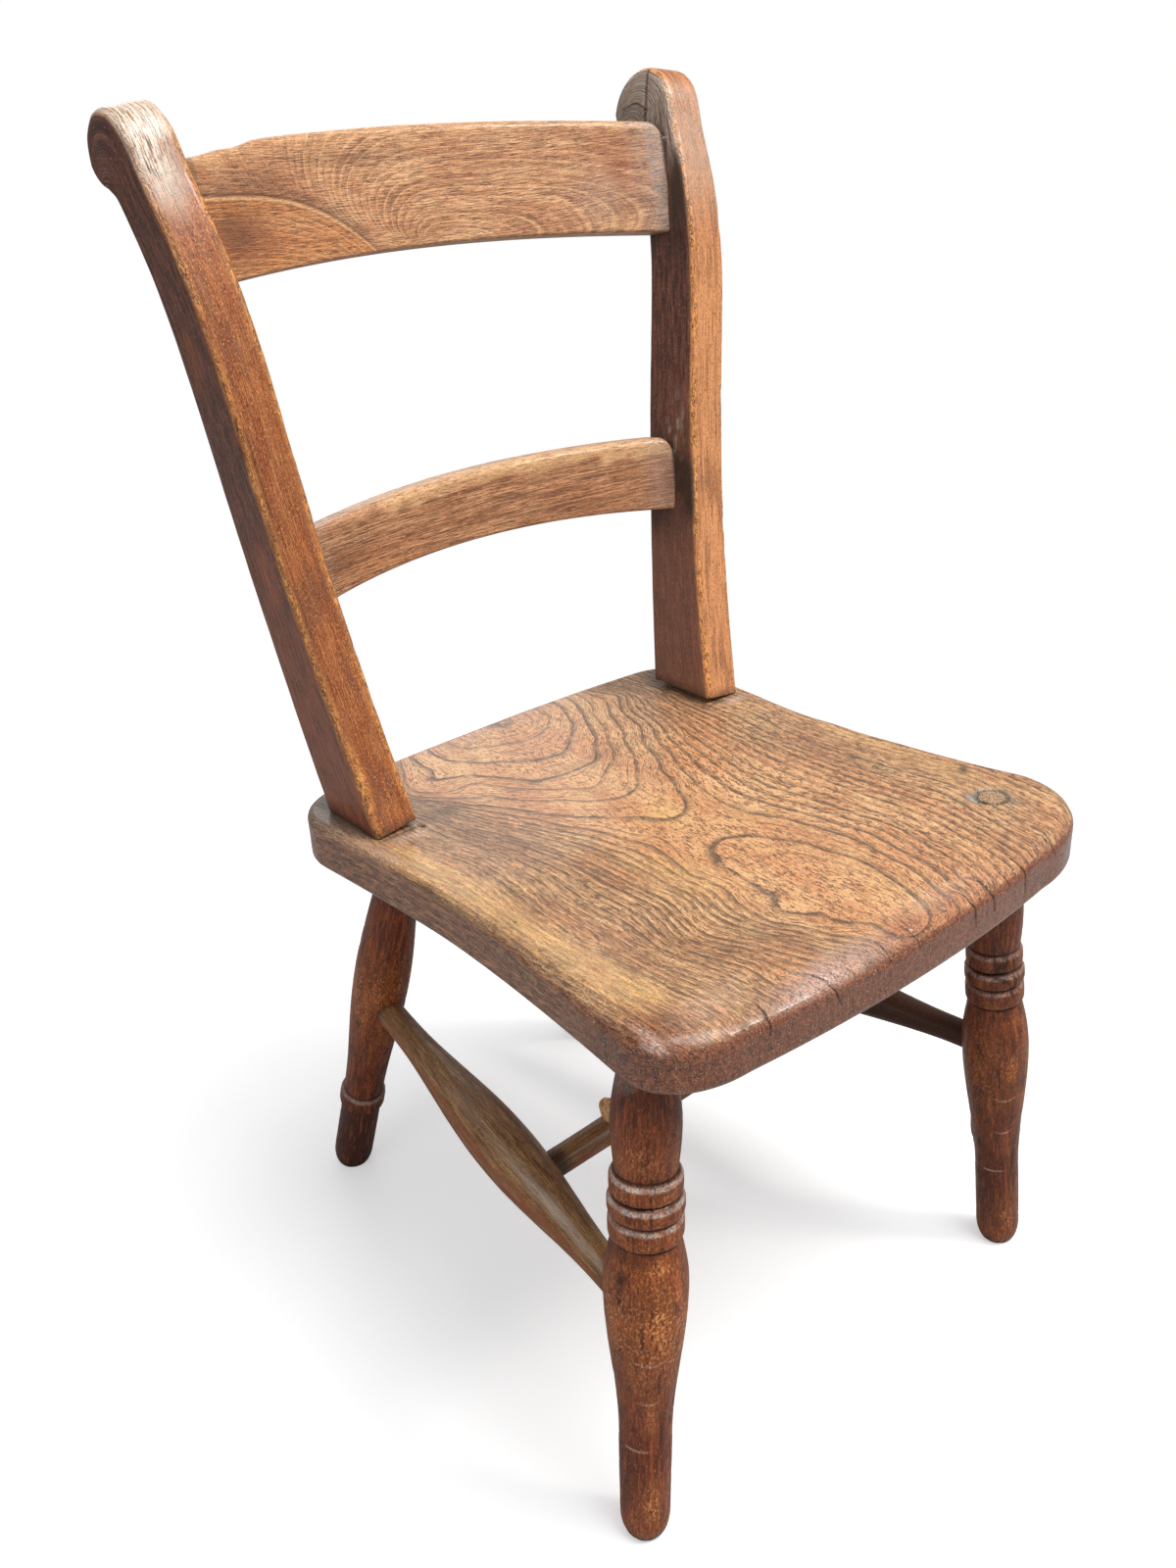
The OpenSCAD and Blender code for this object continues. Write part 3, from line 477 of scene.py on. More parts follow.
def post_material():
    w, flecks, base = stained("post_beech", (177, 96, 54), (214, 133, 78), (124, 64, 38), (240, 172, 106),
                              (0.5, 0.5, 30), 0.35, 0.6)
    worn, grime_and_shade, dust_and_sheen, light = w.marks("worn", "grime_and_shade", "dust_and_sheen", "light")
    # The dark outer and inner sides, where zone is 1
    side = w.layers(
        w.mix(w.flecks((2.4, 2.4, 16), 0.36, 0.64, detail=3), (92, 53, 42), (142, 88, 68)),
        (w.flecks((0.9, 0.9, 11), 0.51, 0.61, 0.75), (50, 29, 24)), (flecks * 0.55, (206, 136, 96)),
        (light * 0.4, (176, 126, 102)), (w.mark("red") * w.flecks((2, 2, 16), 0.32, 0.58) * 0.85, (196, 108, 66)))
    # Blistered varnish: light rings and spots where it has come off
    blisters = w.node("TexVoronoi", "Distance", {"Vector": w.scaled(w.grain, 1 / 1.7, 1 / 1.7, 1 / 3.4), "Scale": 1.0})
    ring = w.step(blisters, 0.20, 0.32) * w.step(blisters, 0.40, 0.54, 1.0, 0.0)
    base = w.layers(
        base, (light * 0.85, (255, 180, 122)),
        (w.flecks((0.4, 0.4, 34), 0.50, 0.57, 0.6, 1, shift=1.2), (108, 58, 38)),
        (w.flecks((5, 5, 46), 0.48, 0.62, 0.55, 3), (128, 82, 64)),
        (w.flecks((0.6, 0.6, 2.4), 0.56, 0.62, 0.7), (82, 44, 30)),
        (w.flecks((0.7, 0.7, 1.8), 0.57, 0.64, 0.6, shift=1.3), (246, 182, 122)),
        (w.step(w.mark("zone") + w.jitter((1.6, 1.6, 7), 0.32, 3), 0.38, 0.62), side),
        (worn * w.flecks((1.0, 1.0, 9), 0.28, 0.48, detail=3) * 0.95, (250, 172, 100)),
        (worn * ring * 0.6, (84, 44, 28)), (worn * w.flecks((0.6, 0.6, 2.5), 0.53, 0.61) * 0.85, (88, 46, 30)),
        # Near white: dust, and a painted highlight over the right scroll's top
        (dust_and_sheen * w.flecks((1.5, 1.5, 9), 0.28, 0.50, detail=3, rough=0.7) * 0.86, (246, 232, 212)),
        (dust_and_sheen * w.flecks((0.5, 0.5, 10), 0.53, 0.58, 0.95), (76, 58, 48)),
        (dust_and_sheen * w.flecks((0.7, 0.7, 5), 0.56, 0.62, 0.8, shift=1.2), (180, 118, 76)), (grime_and_shade * 0.88, (48, 40, 32)))
    return w.finish(w.grit(base), w.roughness((2, 2, 7), 0.30, 0.48),
                    w.noise((0.8, 0.8, 3), 3, 0.65) - ring * worn, 0.32, 0.35, 0.16, 0.35)


def rail_material():
    w = Wood("rail_beech")
    flow, deep = w.mark("flow", "Vector"), w.mark("deep")
    worn, grime_and_shade, dust_and_sheen, zone, red = w.marks("worn", "grime_and_shade", "dust_and_sheen", "zone", "red")
    # Pale lines of the years with darker wood before each
    part, luck = w.years(w.along(flow) + w.jitter((4, 4, 16), 0.16))
    pale = w.step(part, 0.74, 0.87) * w.step(part, 0.93, 1.0, 1.0, 0.0) * w.step(luck, 0.0, 0.9, 0.25, 0.9)
    pale = pale * w.flecks((8, 8, 30), 0.32, 0.52) * (1 - deep * 0.9)
    late = w.step(part, 0.0, 0.12) * w.step(part, 0.2, 0.6, 1.0, 0.0) * w.flecks((0.6, 12, 12), 0.36, 0.6, at=flow)
    base = w.layers(
        w.mix(w.flecks((9, 9, 40), 0.38, 0.62, detail=3), (221, 157, 112), (247, 189, 140)),
        (deep * 0.42, (194, 124, 82)), (zone * 0.9, (216, 134, 66)),
        (w.flecks((0.7, 0.7, 50), 0.50, 0.58, 0.5, 1), (126, 76, 52)), (late * 0.35, (122, 74, 50)),
        (w.flecks((0.12, 30, 30), 0.50, 0.60, 0.8, 1, at=flow) * w.mark("hatch"), (112, 70, 48)),
        (w.flecks((0.4, 0.4, 10), 0.53, 0.60, 0.7, 1), (98, 60, 42)), (pale * 0.75, (244, 192, 138)),
        (w.flecks((0.6, 0.6, 5), 0.56, 0.66, 0.45, shift=1.1), (240, 194, 146)),
        (red * w.flecks((3, 3, 9), 0.28, 0.52) * 0.65, (166, 98, 68)),
        (worn * w.flecks((1.2, 1.2, 7), 0.30, 0.50, detail=3) * 0.85, (242, 192, 140)),
        (dust_and_sheen * w.flecks((1.2, 1.2, 2.4), 0.32, 0.6, detail=3, rough=0.7) * 0.9, (178, 162, 154)),
        (grime_and_shade * w.math("MAXIMUM", w.flecks((1.6, 1.6, 8), 0.24, 0.46, detail=3), w.step(grime_and_shade, 0.55, 0.9)) * 0.95,
         (62, 42, 35)))
    return w.finish(w.grit(base), w.roughness((2, 2, 8), 0.30, 0.46),
                    w.noise((0.8, 0.8, 4), 3, 0.65) - w.flecks((0.55, 0.55, 5.5), 0.53, 0.63), 0.26, 0.3, 0.16, 0.4)


def bare_wood(w, broad, long, low, high, dark, edge, depth):
    """A small piece's wood without a finish."""
    base = w.mix(w.step(w.noise(broad, 3), 0.35, 0.65), low, high)
    base = w.mix(w.step(w.noise((0.3, 0.3, long + 1), 2), 0.55, edge, 0.0, 0.6), base, dark)
    return w.finish(base, 0.6, w.noise((0.4, 0.4, long), 2), depth)


ELM, LEG, STRETCHER, POST, RAIL = (
    seat_material(), leg_material(), stretcher_material(), post_material(), rail_material())
PEG = bare_wood(Wood("peg_wood"), (1.2, 1.2, 6), 2, (208, 150, 96), (244, 202, 150), (128, 84, 46), 0.7, 0.2)
WEDGE = bare_wood(Wood("wedge_wood", drawn=False), (0.6, 0.6, 8), 3, (150, 104, 62), (182, 134, 82), (92, 60, 38),
                  0.72, 0.15)


# The seat

def side_x(side, y):
    half, front, corner_in, waist = side
    back = half + (BACK_HALF - half) * (np.maximum(y - waist, 0) / (Y_BACK - BACK_CORNER - waist)) ** 1.6
    fore = half + (front - half) * (np.maximum(waist - y, 0) / (waist - Y_FRONT - corner_in)) ** 1.6
    return np.where(y > waist, back, fore)


def half_outline(side):
    """One half of the seat's outline, from the middle of the back edge to the middle of the front edge."""
    share, parts = np.arange(20) / 20, []
    for y, bow, edge, depth, out in ((Y_BACK, -BACK_BOW, BACK_HALF - BACK_CORNER, BACK_CORNER, 1.0),
                                     (Y_FRONT, FRONT_BOW, side[1] - side[2], -side[2], 4.0)):
        x = float(side_x(side, y - depth))
        corner = cubic([[x, y - depth], [x + out, y - 0.45 * depth], [edge + 0.55 * (x - edge), y + bow],
                        [edge, y + bow]], 30)
        parts.append(np.vstack([np.stack([edge * share, y + bow * share ** 2], 1), corner[::-1]]))
    ys = np.linspace(Y_BACK - BACK_CORNER, Y_FRONT + side[2], 80)[1:-1]
    return np.vstack([parts[0], np.stack([side_x(side, ys), ys], 1), parts[1][::-1]])


# Guide points of the seat's figure as a year and the places (x, y, x, y ...) it goes through: nested arches at the
# back, a long oval at the front, and between and beside them lines that run from back to front
FIGURE = (
    (0.5, 0, 99, -20, 110, 20, 110), (1.7, -3, 75, -22, 84, -45, 106, 12, 79, 32, 97),
    (3, -12, 40, -30, 46, -46, 68, -62, 98, 8, 42, 26, 62, 42, 90, 52, 118),
    (4, -16, 18, -36, 36, -56, 66, -76, 104, 8, 31, 30, 56, 48, 88, 60, 120),
    (5, -12, -1, -34, 16, -60, 50, -84, 100, 10, 10, 28, 34, 48, 66, 66, 108),
    (6, -6, -38, -20, -24, -36, -8, -52, 14, -72, 48, -92, 90, 8, -28, 20, -6, 34, 20, 52, 52, 70, 90, -8, -74, -22,
     -84, -26, -100, -23, -128, -25, -152, -16, -172, 0, -190, 10, -90, 19, -118, 20, -148, 13, -176),
    (5.1, -3, -128), (5.3, -4, -160), (6.4, -8, -56), (7, -36, -50, -41, -36, -52, -8, -62, 18), (7.2, -84, 60),
    (7, -38, -66, -42, -86, -45, -120, -46, -142, -36, -166, -24, -190, 20, -50, 24, -22, 34, 4, 46, 30, 64, 62, 80,
     100, 30, -84, 36, -112, 34, -146, 26, -176),
    (8, 33, -52, 38, -20, 46, 6, 58, 38, 40, -86, 46, -120, 42, -156, 34, -190),
    (10, 50, -50, 56, -14, 66, 24, 78, 70, 58, -104, 55, -150, 46, -188), (12, 68, -50, 74, 0, 84, 60),
    (12.5, 92, 110), (12, 73, -112, 68, -160, 62, -190), (15.5, 90, -50, 92, 10, 98, 70, 94, -112, 86, -170),
    (18, 102, -50, 108, 20, 111, -118, 100, -176), (21.5, 117, -50, 122, 20, 128, -116, 120, -166), (25.5, 134, -40),
    (25, 136, 60), (25.5, 146, -118), (11, -60, -60), (10.5, -64, -20, -78, 20, -98, 70, -57, -100),
    (11, -63, -134, -54, -160, -40, -186), (13.5, -70, -50, -69, -96, -76, -126), (14, -68, -152, -56, -184),
    (16.5, -81, -40, -82, -100, -86, -134), (17, -80, -176), (22, -101, 0), (20, -106, 60), (22, -104, -60),
    (23.5, -111, -110), (23, -104, -160), (28, -122, 0, -124, -60), (28.5, -126, -120), (27.5, -120, -176),
    (25, -118, 50), (32.5, -138, 20), (33, -140, -60), (34, -146, -130), (30, -136, 90),
)


def figure(x, y):
    """Year of the seat's wood at places on its top: a thin plate through the guide points."""
    guide = np.array([(at[0], at[1], year) for year, *flat in FIGURE for at in zip(flat[::2], flat[1::2])], float)
    scale = 100.0
    gx, gy, year = guide[:, 0] / scale, guide[:, 1] / scale, guide[:, 2]

    def kernel(ax, ay, bx, by):
        d2 = (ax - bx) ** 2 + (ay - by) ** 2
        return 0.5 * d2 * np.log(d2 + 1e-9)

    n = len(guide)
    system = np.zeros((n + 3, n + 3))
    system[:n, :n] = kernel(gx[:, None], gy[:, None], gx[None], gy[None]) + 2e-4 * np.eye(n)
    system[:n, n:] = np.stack([np.ones(n), gx, gy], 1)
    system[n:, :n] = system[:n, n:].T
    weights = np.linalg.solve(system, np.concatenate([year, np.zeros(3)]))
    px, py = x / scale, y / scale
    total = weights[n] + weights[n + 1] * px + weights[n + 2] * py
    for k in range(n):
        total = total + weights[k] * kernel(px, py, gx[k], gy[k])
    return total


TENON, TENON_R = np.array([119.9, -138.4]), 6.4     # where the left front leg shows in the seat's top
# Drying cracks in the front edge as (x where it starts on top, how far it runs back, drop, width, slant)
CRACKS = (
    (76, 12, 20, 0.9, 0.10), (48, 14, 16, 1.0, 0.12), (33, 16, 18, 0.8, 0.10), (-97, 13, 14, 1.1, -0.06),
    (-62, 16, 13, 0.9, 0.25), (-26, 10, 7, 0.7, 0.0), (104, 10, 11, 0.6, 0.1), (-8, 9, 8, 0.5, 0.1),
    (62, 8, 9, 0.5, 0.1))
# Small pits in the top as (x, y, radius, depth)
PITS = ((-104.0, 46.5, 1.3, 2.2), (16.8, -186.5, 1.4, 1.0), (-7.4, -187, 1.3, 1.0), (-139.0, -73.5, 1.2, 0.8),
        (-127.5, -59.7, 1.1, 0.7), (118.0, -146.5, 1.2, 0.6), (111.5, -150, 1.0, 0.5))


def detailed(x, y, z, reach):
    """Whether a place on the seat lies within reach of the tenon, a pit or a crack."""
    rounds = ((*TENON, TENON_R + 3.5), *(pit[:3] for pit in PITS)) if z > SEAT_TOP - 0.5 else ()
    slants = CRACKS if z >= UNDER + 1 and y <= Y_FRONT + 26 else ()
    return (any(math.hypot(x - at, y - on) < r + reach for at, on, r in rounds)
            or any(abs(x - (at + slant * (SEAT_TOP - z - y + Y_FRONT))) < width + reach
                   for at, _, _, width, slant in slants))


def seat_shape(middle):
    """Points and faces of the seat, with a finer mesh at its small forms."""
    halves = {s: half_outline(SEAT_SIDE[s]) for s in (LEFT, RIGHT)}
    mirrored = halves[RIGHT][-2:0:-1] * [-1, 1]
    edge = softened(resampled(np.vstack([halves[LEFT], mirrored]), 1.35, closed=True), 3, closed=True)
    n, waist = len(edge), SEAT_SIDE[LEFT][3]
    ahead = np.roll(edge, -1, 0) - np.roll(edge, 1, 0)
    inward = np.stack([ahead[:, 1], -ahead[:, 0]], 1) / np.linalg.norm(ahead, axis=1)[:, None]
    roll = 4.4 + 5.1 * ease(held((waist - edge[:, 1]) / (waist - Y_FRONT - 42)))
    roll = roll * (1 + 0.16 * noise(np.column_stack([edge, np.zeros(n)]), 22, 3))
    rings = []

    def add(inset, z, share=1.0):
        flat = middle + (edge + inward * (np.ones(n) * inset)[:, None] - middle) * share
        rings.append(np.column_stack([flat, np.ones(n) * z]))

    # Rings from the underside out, up the side, over the worn top edge and in towards the middle
    for k in range(60):
        add(4.0, UNDER, 0.02 + 0.98 * k / 60)
    for inset, up in ((3.6, 0), (2.5, 0.1), (1.6, 0.7), (0.8, 1.6), (0.25, 2.7)):
        add(inset, UNDER + up)
    for k in range(16):
        add(0.0, UNDER + 3.6 + (SEAT_T - 3.6 - roll) * k / 16)
    for a in np.linspace(0, math.pi / 2, 13, endpoint=False):
        add(roll * (1 - math.cos(a)), SEAT_TOP - roll * (1 - math.sin(a)))
    for share in np.linspace(1, 0.015, 128):
        add(roll, SEAT_TOP, share)
    points, faces = tube(np.array(rings))
    mesh = bpy.data.meshes.new("seat_work")
    mesh.from_pydata(points.tolist(), [], faces)
    work = bmesh.new()
    work.from_mesh(mesh)
    for reach in (1.6, 0.7):
        near = [f for f in work.faces if detailed(*f.calc_center_median(), reach)]
        edges = list({e for f in near for e in f.edges})
        bmesh.ops.subdivide_edges(work, edges=edges, cuts=1, use_grid_fill=True)
    work.verts.index_update()
    points = np.array([v.co for v in work.verts])
    faces = [[v.index for v in f.verts] for f in work.faces]
    work.free()
    bpy.data.meshes.remove(mesh)
    return points, faces


def make_seat():
    middle = np.array([0.0, -30.0])
    points, faces = seat_shape(middle)
    x, y, z = points.T
    flat_top = smooth(z, SEAT_TOP - 3, SEAT_TOP)
    near = np.hypot(x - TENON[0], y - TENON[1])

    def flat(*where):
        return spot(x, y, *where)

    # The years run on down through the plank, steeply at the sides
    steep = 0.03 + 0.16 * smooth(np.abs(x), 80, 140)
    level = figure(x, y)
    slope = np.hypot(figure(x + 0.5, y) - level, figure(x, y + 0.5) - level) * 2
    ring = level + (SEAT_TOP - z) * steep
    # Thin lines keep about one spacing, so they count faster where the years lie far apart
    years = np.linspace(-6, 60, 1321)
    pace = 1.0 + 3.4 * (1 - smooth(years, 5.6, 8.5)) + 0.25 * (1 - smooth(years, 8.5, 20))
    count = np.concatenate([[0], np.cumsum((pace[1:] + pace[:-1]) / 2 * np.diff(years))])

    # Shallow wear and hand-planed unevenness
    drop = 0.10 * (1 + noise(points, 34, 5)) + 0.05 * noise(points, 9, 6)
    drop += 1.5 * (1 - smooth(y, Y_FRONT + 4, Y_FRONT + 34)) + 0.3 * flat((0, -130), (110, 50)) * flat_top
    groove = bump(near, TENON_R + 1.2, 2.3) * 2.0
    chip = flat((TENON[0] - 8.5, TENON[1] + 3.0), (4.2, 5.2), 20) * 2.4
    sunk = (1 - smooth(near, TENON_R - 1.0, TENON_R - 0.2)) * 1.2
    drop += most(groove, chip, sunk) * flat_top
    pits, crack = 0, 0
    for px, py, r, deep in PITS:
        pit = flat((px, py), (r * 1.5, r * 1.5)) * flat_top
        drop += pit * deep
        pits = most(pits, pit)
    # How far along a crack a point lies: over the top from the edge, then down the front
    over, below = np.clip(y - Y_FRONT - 6, 0, None), np.clip(SEAT_TOP - 2 - z, 0, None)
    for at, back, down, width, slant in CRACKS:
        fade = (1 - smooth(over, back * 0.4, back)) * (1 - smooth(below, down * 0.5, down))
        wobble = 0.5 * noise(np.stack([y, z, np.full(len(x), at)], 1), 3.0, 11)
        away = np.abs(x - (at + slant * (below - over) * 1.4 + wobble))
        crack = most(crack, (1 - smooth(away, 0.1, width * 0.75)) * fade * (y < Y_FRONT + 30))
    gone = np.stack([np.zeros(len(x)), -np.clip(Y_FRONT + 12 - y, 0, 12) / 12, np.ones(len(x))], 1)
    gone /= np.linalg.norm(gone, axis=1)[:, None]
    side_dent = 0.22 * noise(points, (16, 16, 12), 8) + 0.1 * noise(points, 5, 9)
    on_side = smooth(z, UNDER + 1, UNDER + 4) * (1 - smooth(z, SEAT_TOP - 4, SEAT_TOP))
    out = np.column_stack([points[:, :2] - middle, np.zeros(len(x))])
    out /= np.maximum(np.linalg.norm(out, axis=1), 1)[:, None]
    shaped = points - out * (np.abs(side_dent) * on_side)[:, None] - gone * (crack * 1.6)[:, None]
    shaped[:, 2] -= drop * smooth(z, SEAT_TOP - 8, SEAT_TOP)

    hollow = most(held(groove / 1.6), held(chip / 2.4)) * flat_top
    around_tenon = most(1.5 * flat((TENON[0] - 6.5, TENON[1] + 5.5), (8, 8)), 0.7 * bump(near, TENON_R + 2.4, 2.6))
    halo = held(around_tenon * smooth(near, TENON_R - 0.2, TENON_R + 1.6)
                + 0.5 * flat((TENON[0] + 1, TENON[1] - 13), (9, 3)) + 0.4 * flat((-130, 86), (9, 46))
                + 0.3 * flat((-134, 30), (5, 20)))
    # Dark joints round the posts' feet
    base_right = flat((-126, 84), (16, 44)) + bump(x, -127.5, 4) * smooth(y, 40, 52) * (1 - smooth(y, 100, 112))
    post_line = bump(y, 47.5, 2.4) * smooth(x, -130, -127) * (1 - smooth(x, -106, -100))
    post_line_far = bump(y, 47.5, 2.6) * smooth(x, 101, 104) * (1 - smooth(x, 128, 132))
    inner_line = bump(x, 102.5, 3) * smooth(y, 46, 52) * (1 - smooth(y, 96, 104))
    joints = 0.8 * most(0.75 * held(base_right), post_line, post_line_far, inner_line)
    # Pale worn band along the right edge
    gold = held(
        bump(x, -128, 20) * smooth(y, -165, -140) * (1 - smooth(y, 20, 60))
        + 0.6 * flat((-50, -80), (26, 60)) + 0.5 * flat((-8, -30), (30, 22))
        + 0.45 * bump(x, 132, 16) * smooth(y, -150, -110) * (1 - smooth(y, -30, 10)))
    arris = bump(z, SEAT_TOP - 1.5, 3.0) * smooth(-y, 150, 175)
    patch = 0.9 * flat((-148, -100), (10, 30)) + 0.7 * flat((-141, -66), (7, 14))
    rolled = smooth(-y + 3 * noise(shaped, 9, 31), 172, 187) * (1 - 0.5 * smooth(x, -20, 90))
    warm = held(most(smooth(-y, 150, 182), 1.4 * flat((-150, -165), (30, 60))))
    marks = {
        "ring": ring, "pitch": np.clip(most(slope, steep * (z < SEAT_TOP - 4)), 0.035, 0.6),
        "flow": np.stack([np.interp(ring, years, count), x, y + z], 1), "grain": np.stack([x, z, y], 1),
        "halo": halo * flat_top, "gold": gold * flat_top,
        "grime_and_shade": most(
            hollow, pits, crack * 1.2, joints * flat_top, 0.75 * flat((-86, 50), (13, 10)) * flat_top,
            1.1 * flat((136, -109), (10, 5), 30), 0.35 * flat((82, -171), (16, 9), 40),
            0.3 * flat((0, 44), (120, 7)) * flat_top),
        "worn": 0.35 * arris * (0.6 + 0.4 * noise(shaped, 6, 21))
        + 0.5 * flat((-137, 42), (8, 46)) * smooth(z, SEAT_TOP - 6, SEAT_TOP),
        # Painted highlight and glints along the rolled front edge and the near corner, and pale scuffed patches by the
        # posts and the rear arris
        "scuff_and_sheen": (0.3 * flat((-112, -166), (34, 16), 10) + 0.8 * flat((119, 44), (14, 7))
                  + 0.7 * flat((-116, 42), (14, 6))) * flat_top
        + 1.1 * bump(y, Y_FRONT + 10, 13) * spot(x, z, (-56, SEAT_TOP - 2), (58, 7))
        + 0.4 * bump(y, Y_FRONT + 14, 12) * spot(x, z, (20, SEAT_TOP - 1), (50, 4.5))
        + 1.0 * flat((-143, -170), (4, 24)) * smooth(z, SEAT_TOP - 8, SEAT_TOP - 4)
        + 0.3 * bump(x, -136, 10) * smooth(y, 6, 40) * smooth(z, SEAT_TOP - 9, SEAT_TOP - 4),
        "dark": most(1 - smooth(z, SEAT_TOP - 7.5, SEAT_TOP - 1.2), patch * smooth(z, SEAT_TOP - 6, SEAT_TOP - 1),
                     0.34 * flat((-20, 84), (150, 50)) * flat_top + 0.4 * smooth(y, 96, 121)),
        "tint": most(rolled, 1.3 * flat((-146, -172), (34, 44))),
        "warm": warm - 0.5 * (1 - smooth(z, UNDER, UNDER + 6))}
    piece("seat_plank", shaped, faces, marks, ELM, ["seat"])


# Turned pieces

def lathe(start, end, profile, around, step, seed, shape=None, floor=False):
    """A turned piece from start towards end.

    Gives its points and faces, then for each point its place in the piece, its distance from the start, its angle
    and the way out from the axis. shape(t, a, local) says how far the surface is moved out, in millimetres.
    """
    way = (end - start) / np.linalg.norm(end - start)
    e1 = np.cross(way, [0.0, 1.0, 0.0] if abs(way[1]) < 0.9 else [1.0, 0.0, 0.0])
    e1 /= np.linalg.norm(e1)
    e2 = np.cross(way, e1)
    t, r = resampled(profile, step).T
    T, A = np.meshgrid(t, np.linspace(0, 2 * np.pi, around, endpoint=False), indexing="ij")
    R = np.repeat(r[:, None], around, 1)
    rings = np.stack([R * np.cos(A), R * np.sin(A), T], -1)
    local = rings.reshape(-1, 3)
    out = 0.10 * noise(local, (14, 14, 40), seed) + 0.05 * noise(local, (5, 5, 9), seed + 1)
    if shape is not None:
        out = out + shape(T.ravel(), A.ravel(), local)
    R = R + out.reshape(R.shape) * smooth(R, 0, 3)
    local = capped(rings)
    rings = start + T[..., None] * way + (R * np.cos(A))[..., None] * e1 + (R * np.sin(A))[..., None] * e2
    if floor:
        rings = rings - np.minimum(rings[..., 2:], 0) / way[2] * way
    points, faces = tube(rings)
    a = np.append(A, [0, 0])
    return points, faces, local, local[:, 2], a, np.cos(a)[:, None] * e1 + np.sin(a)[:, None] * e2


def foot_points(r):
    """A foot worn to a full round, from a little below the floor up to the shank."""
    turn = np.radians(np.linspace(12, 90, 12))
    return np.vstack([[[-4.5, 0.3], [-4.5, r * 0.45]],
                      np.stack([13.6 - 16.8 * np.cos(turn), r * np.sin(turn) ** 0.62], 1)])


def along_grain(local, a, end=0):
    """Marks' coordinates that keep streaks unbroken where a turned piece swells, except where end is 1."""
    even = local * [0.3, 0.3, 1] + np.stack([10 * np.cos(a), 10 * np.sin(a), 0 * a], 1)
    return even + (local - even) * np.reshape(end, (-1, 1))


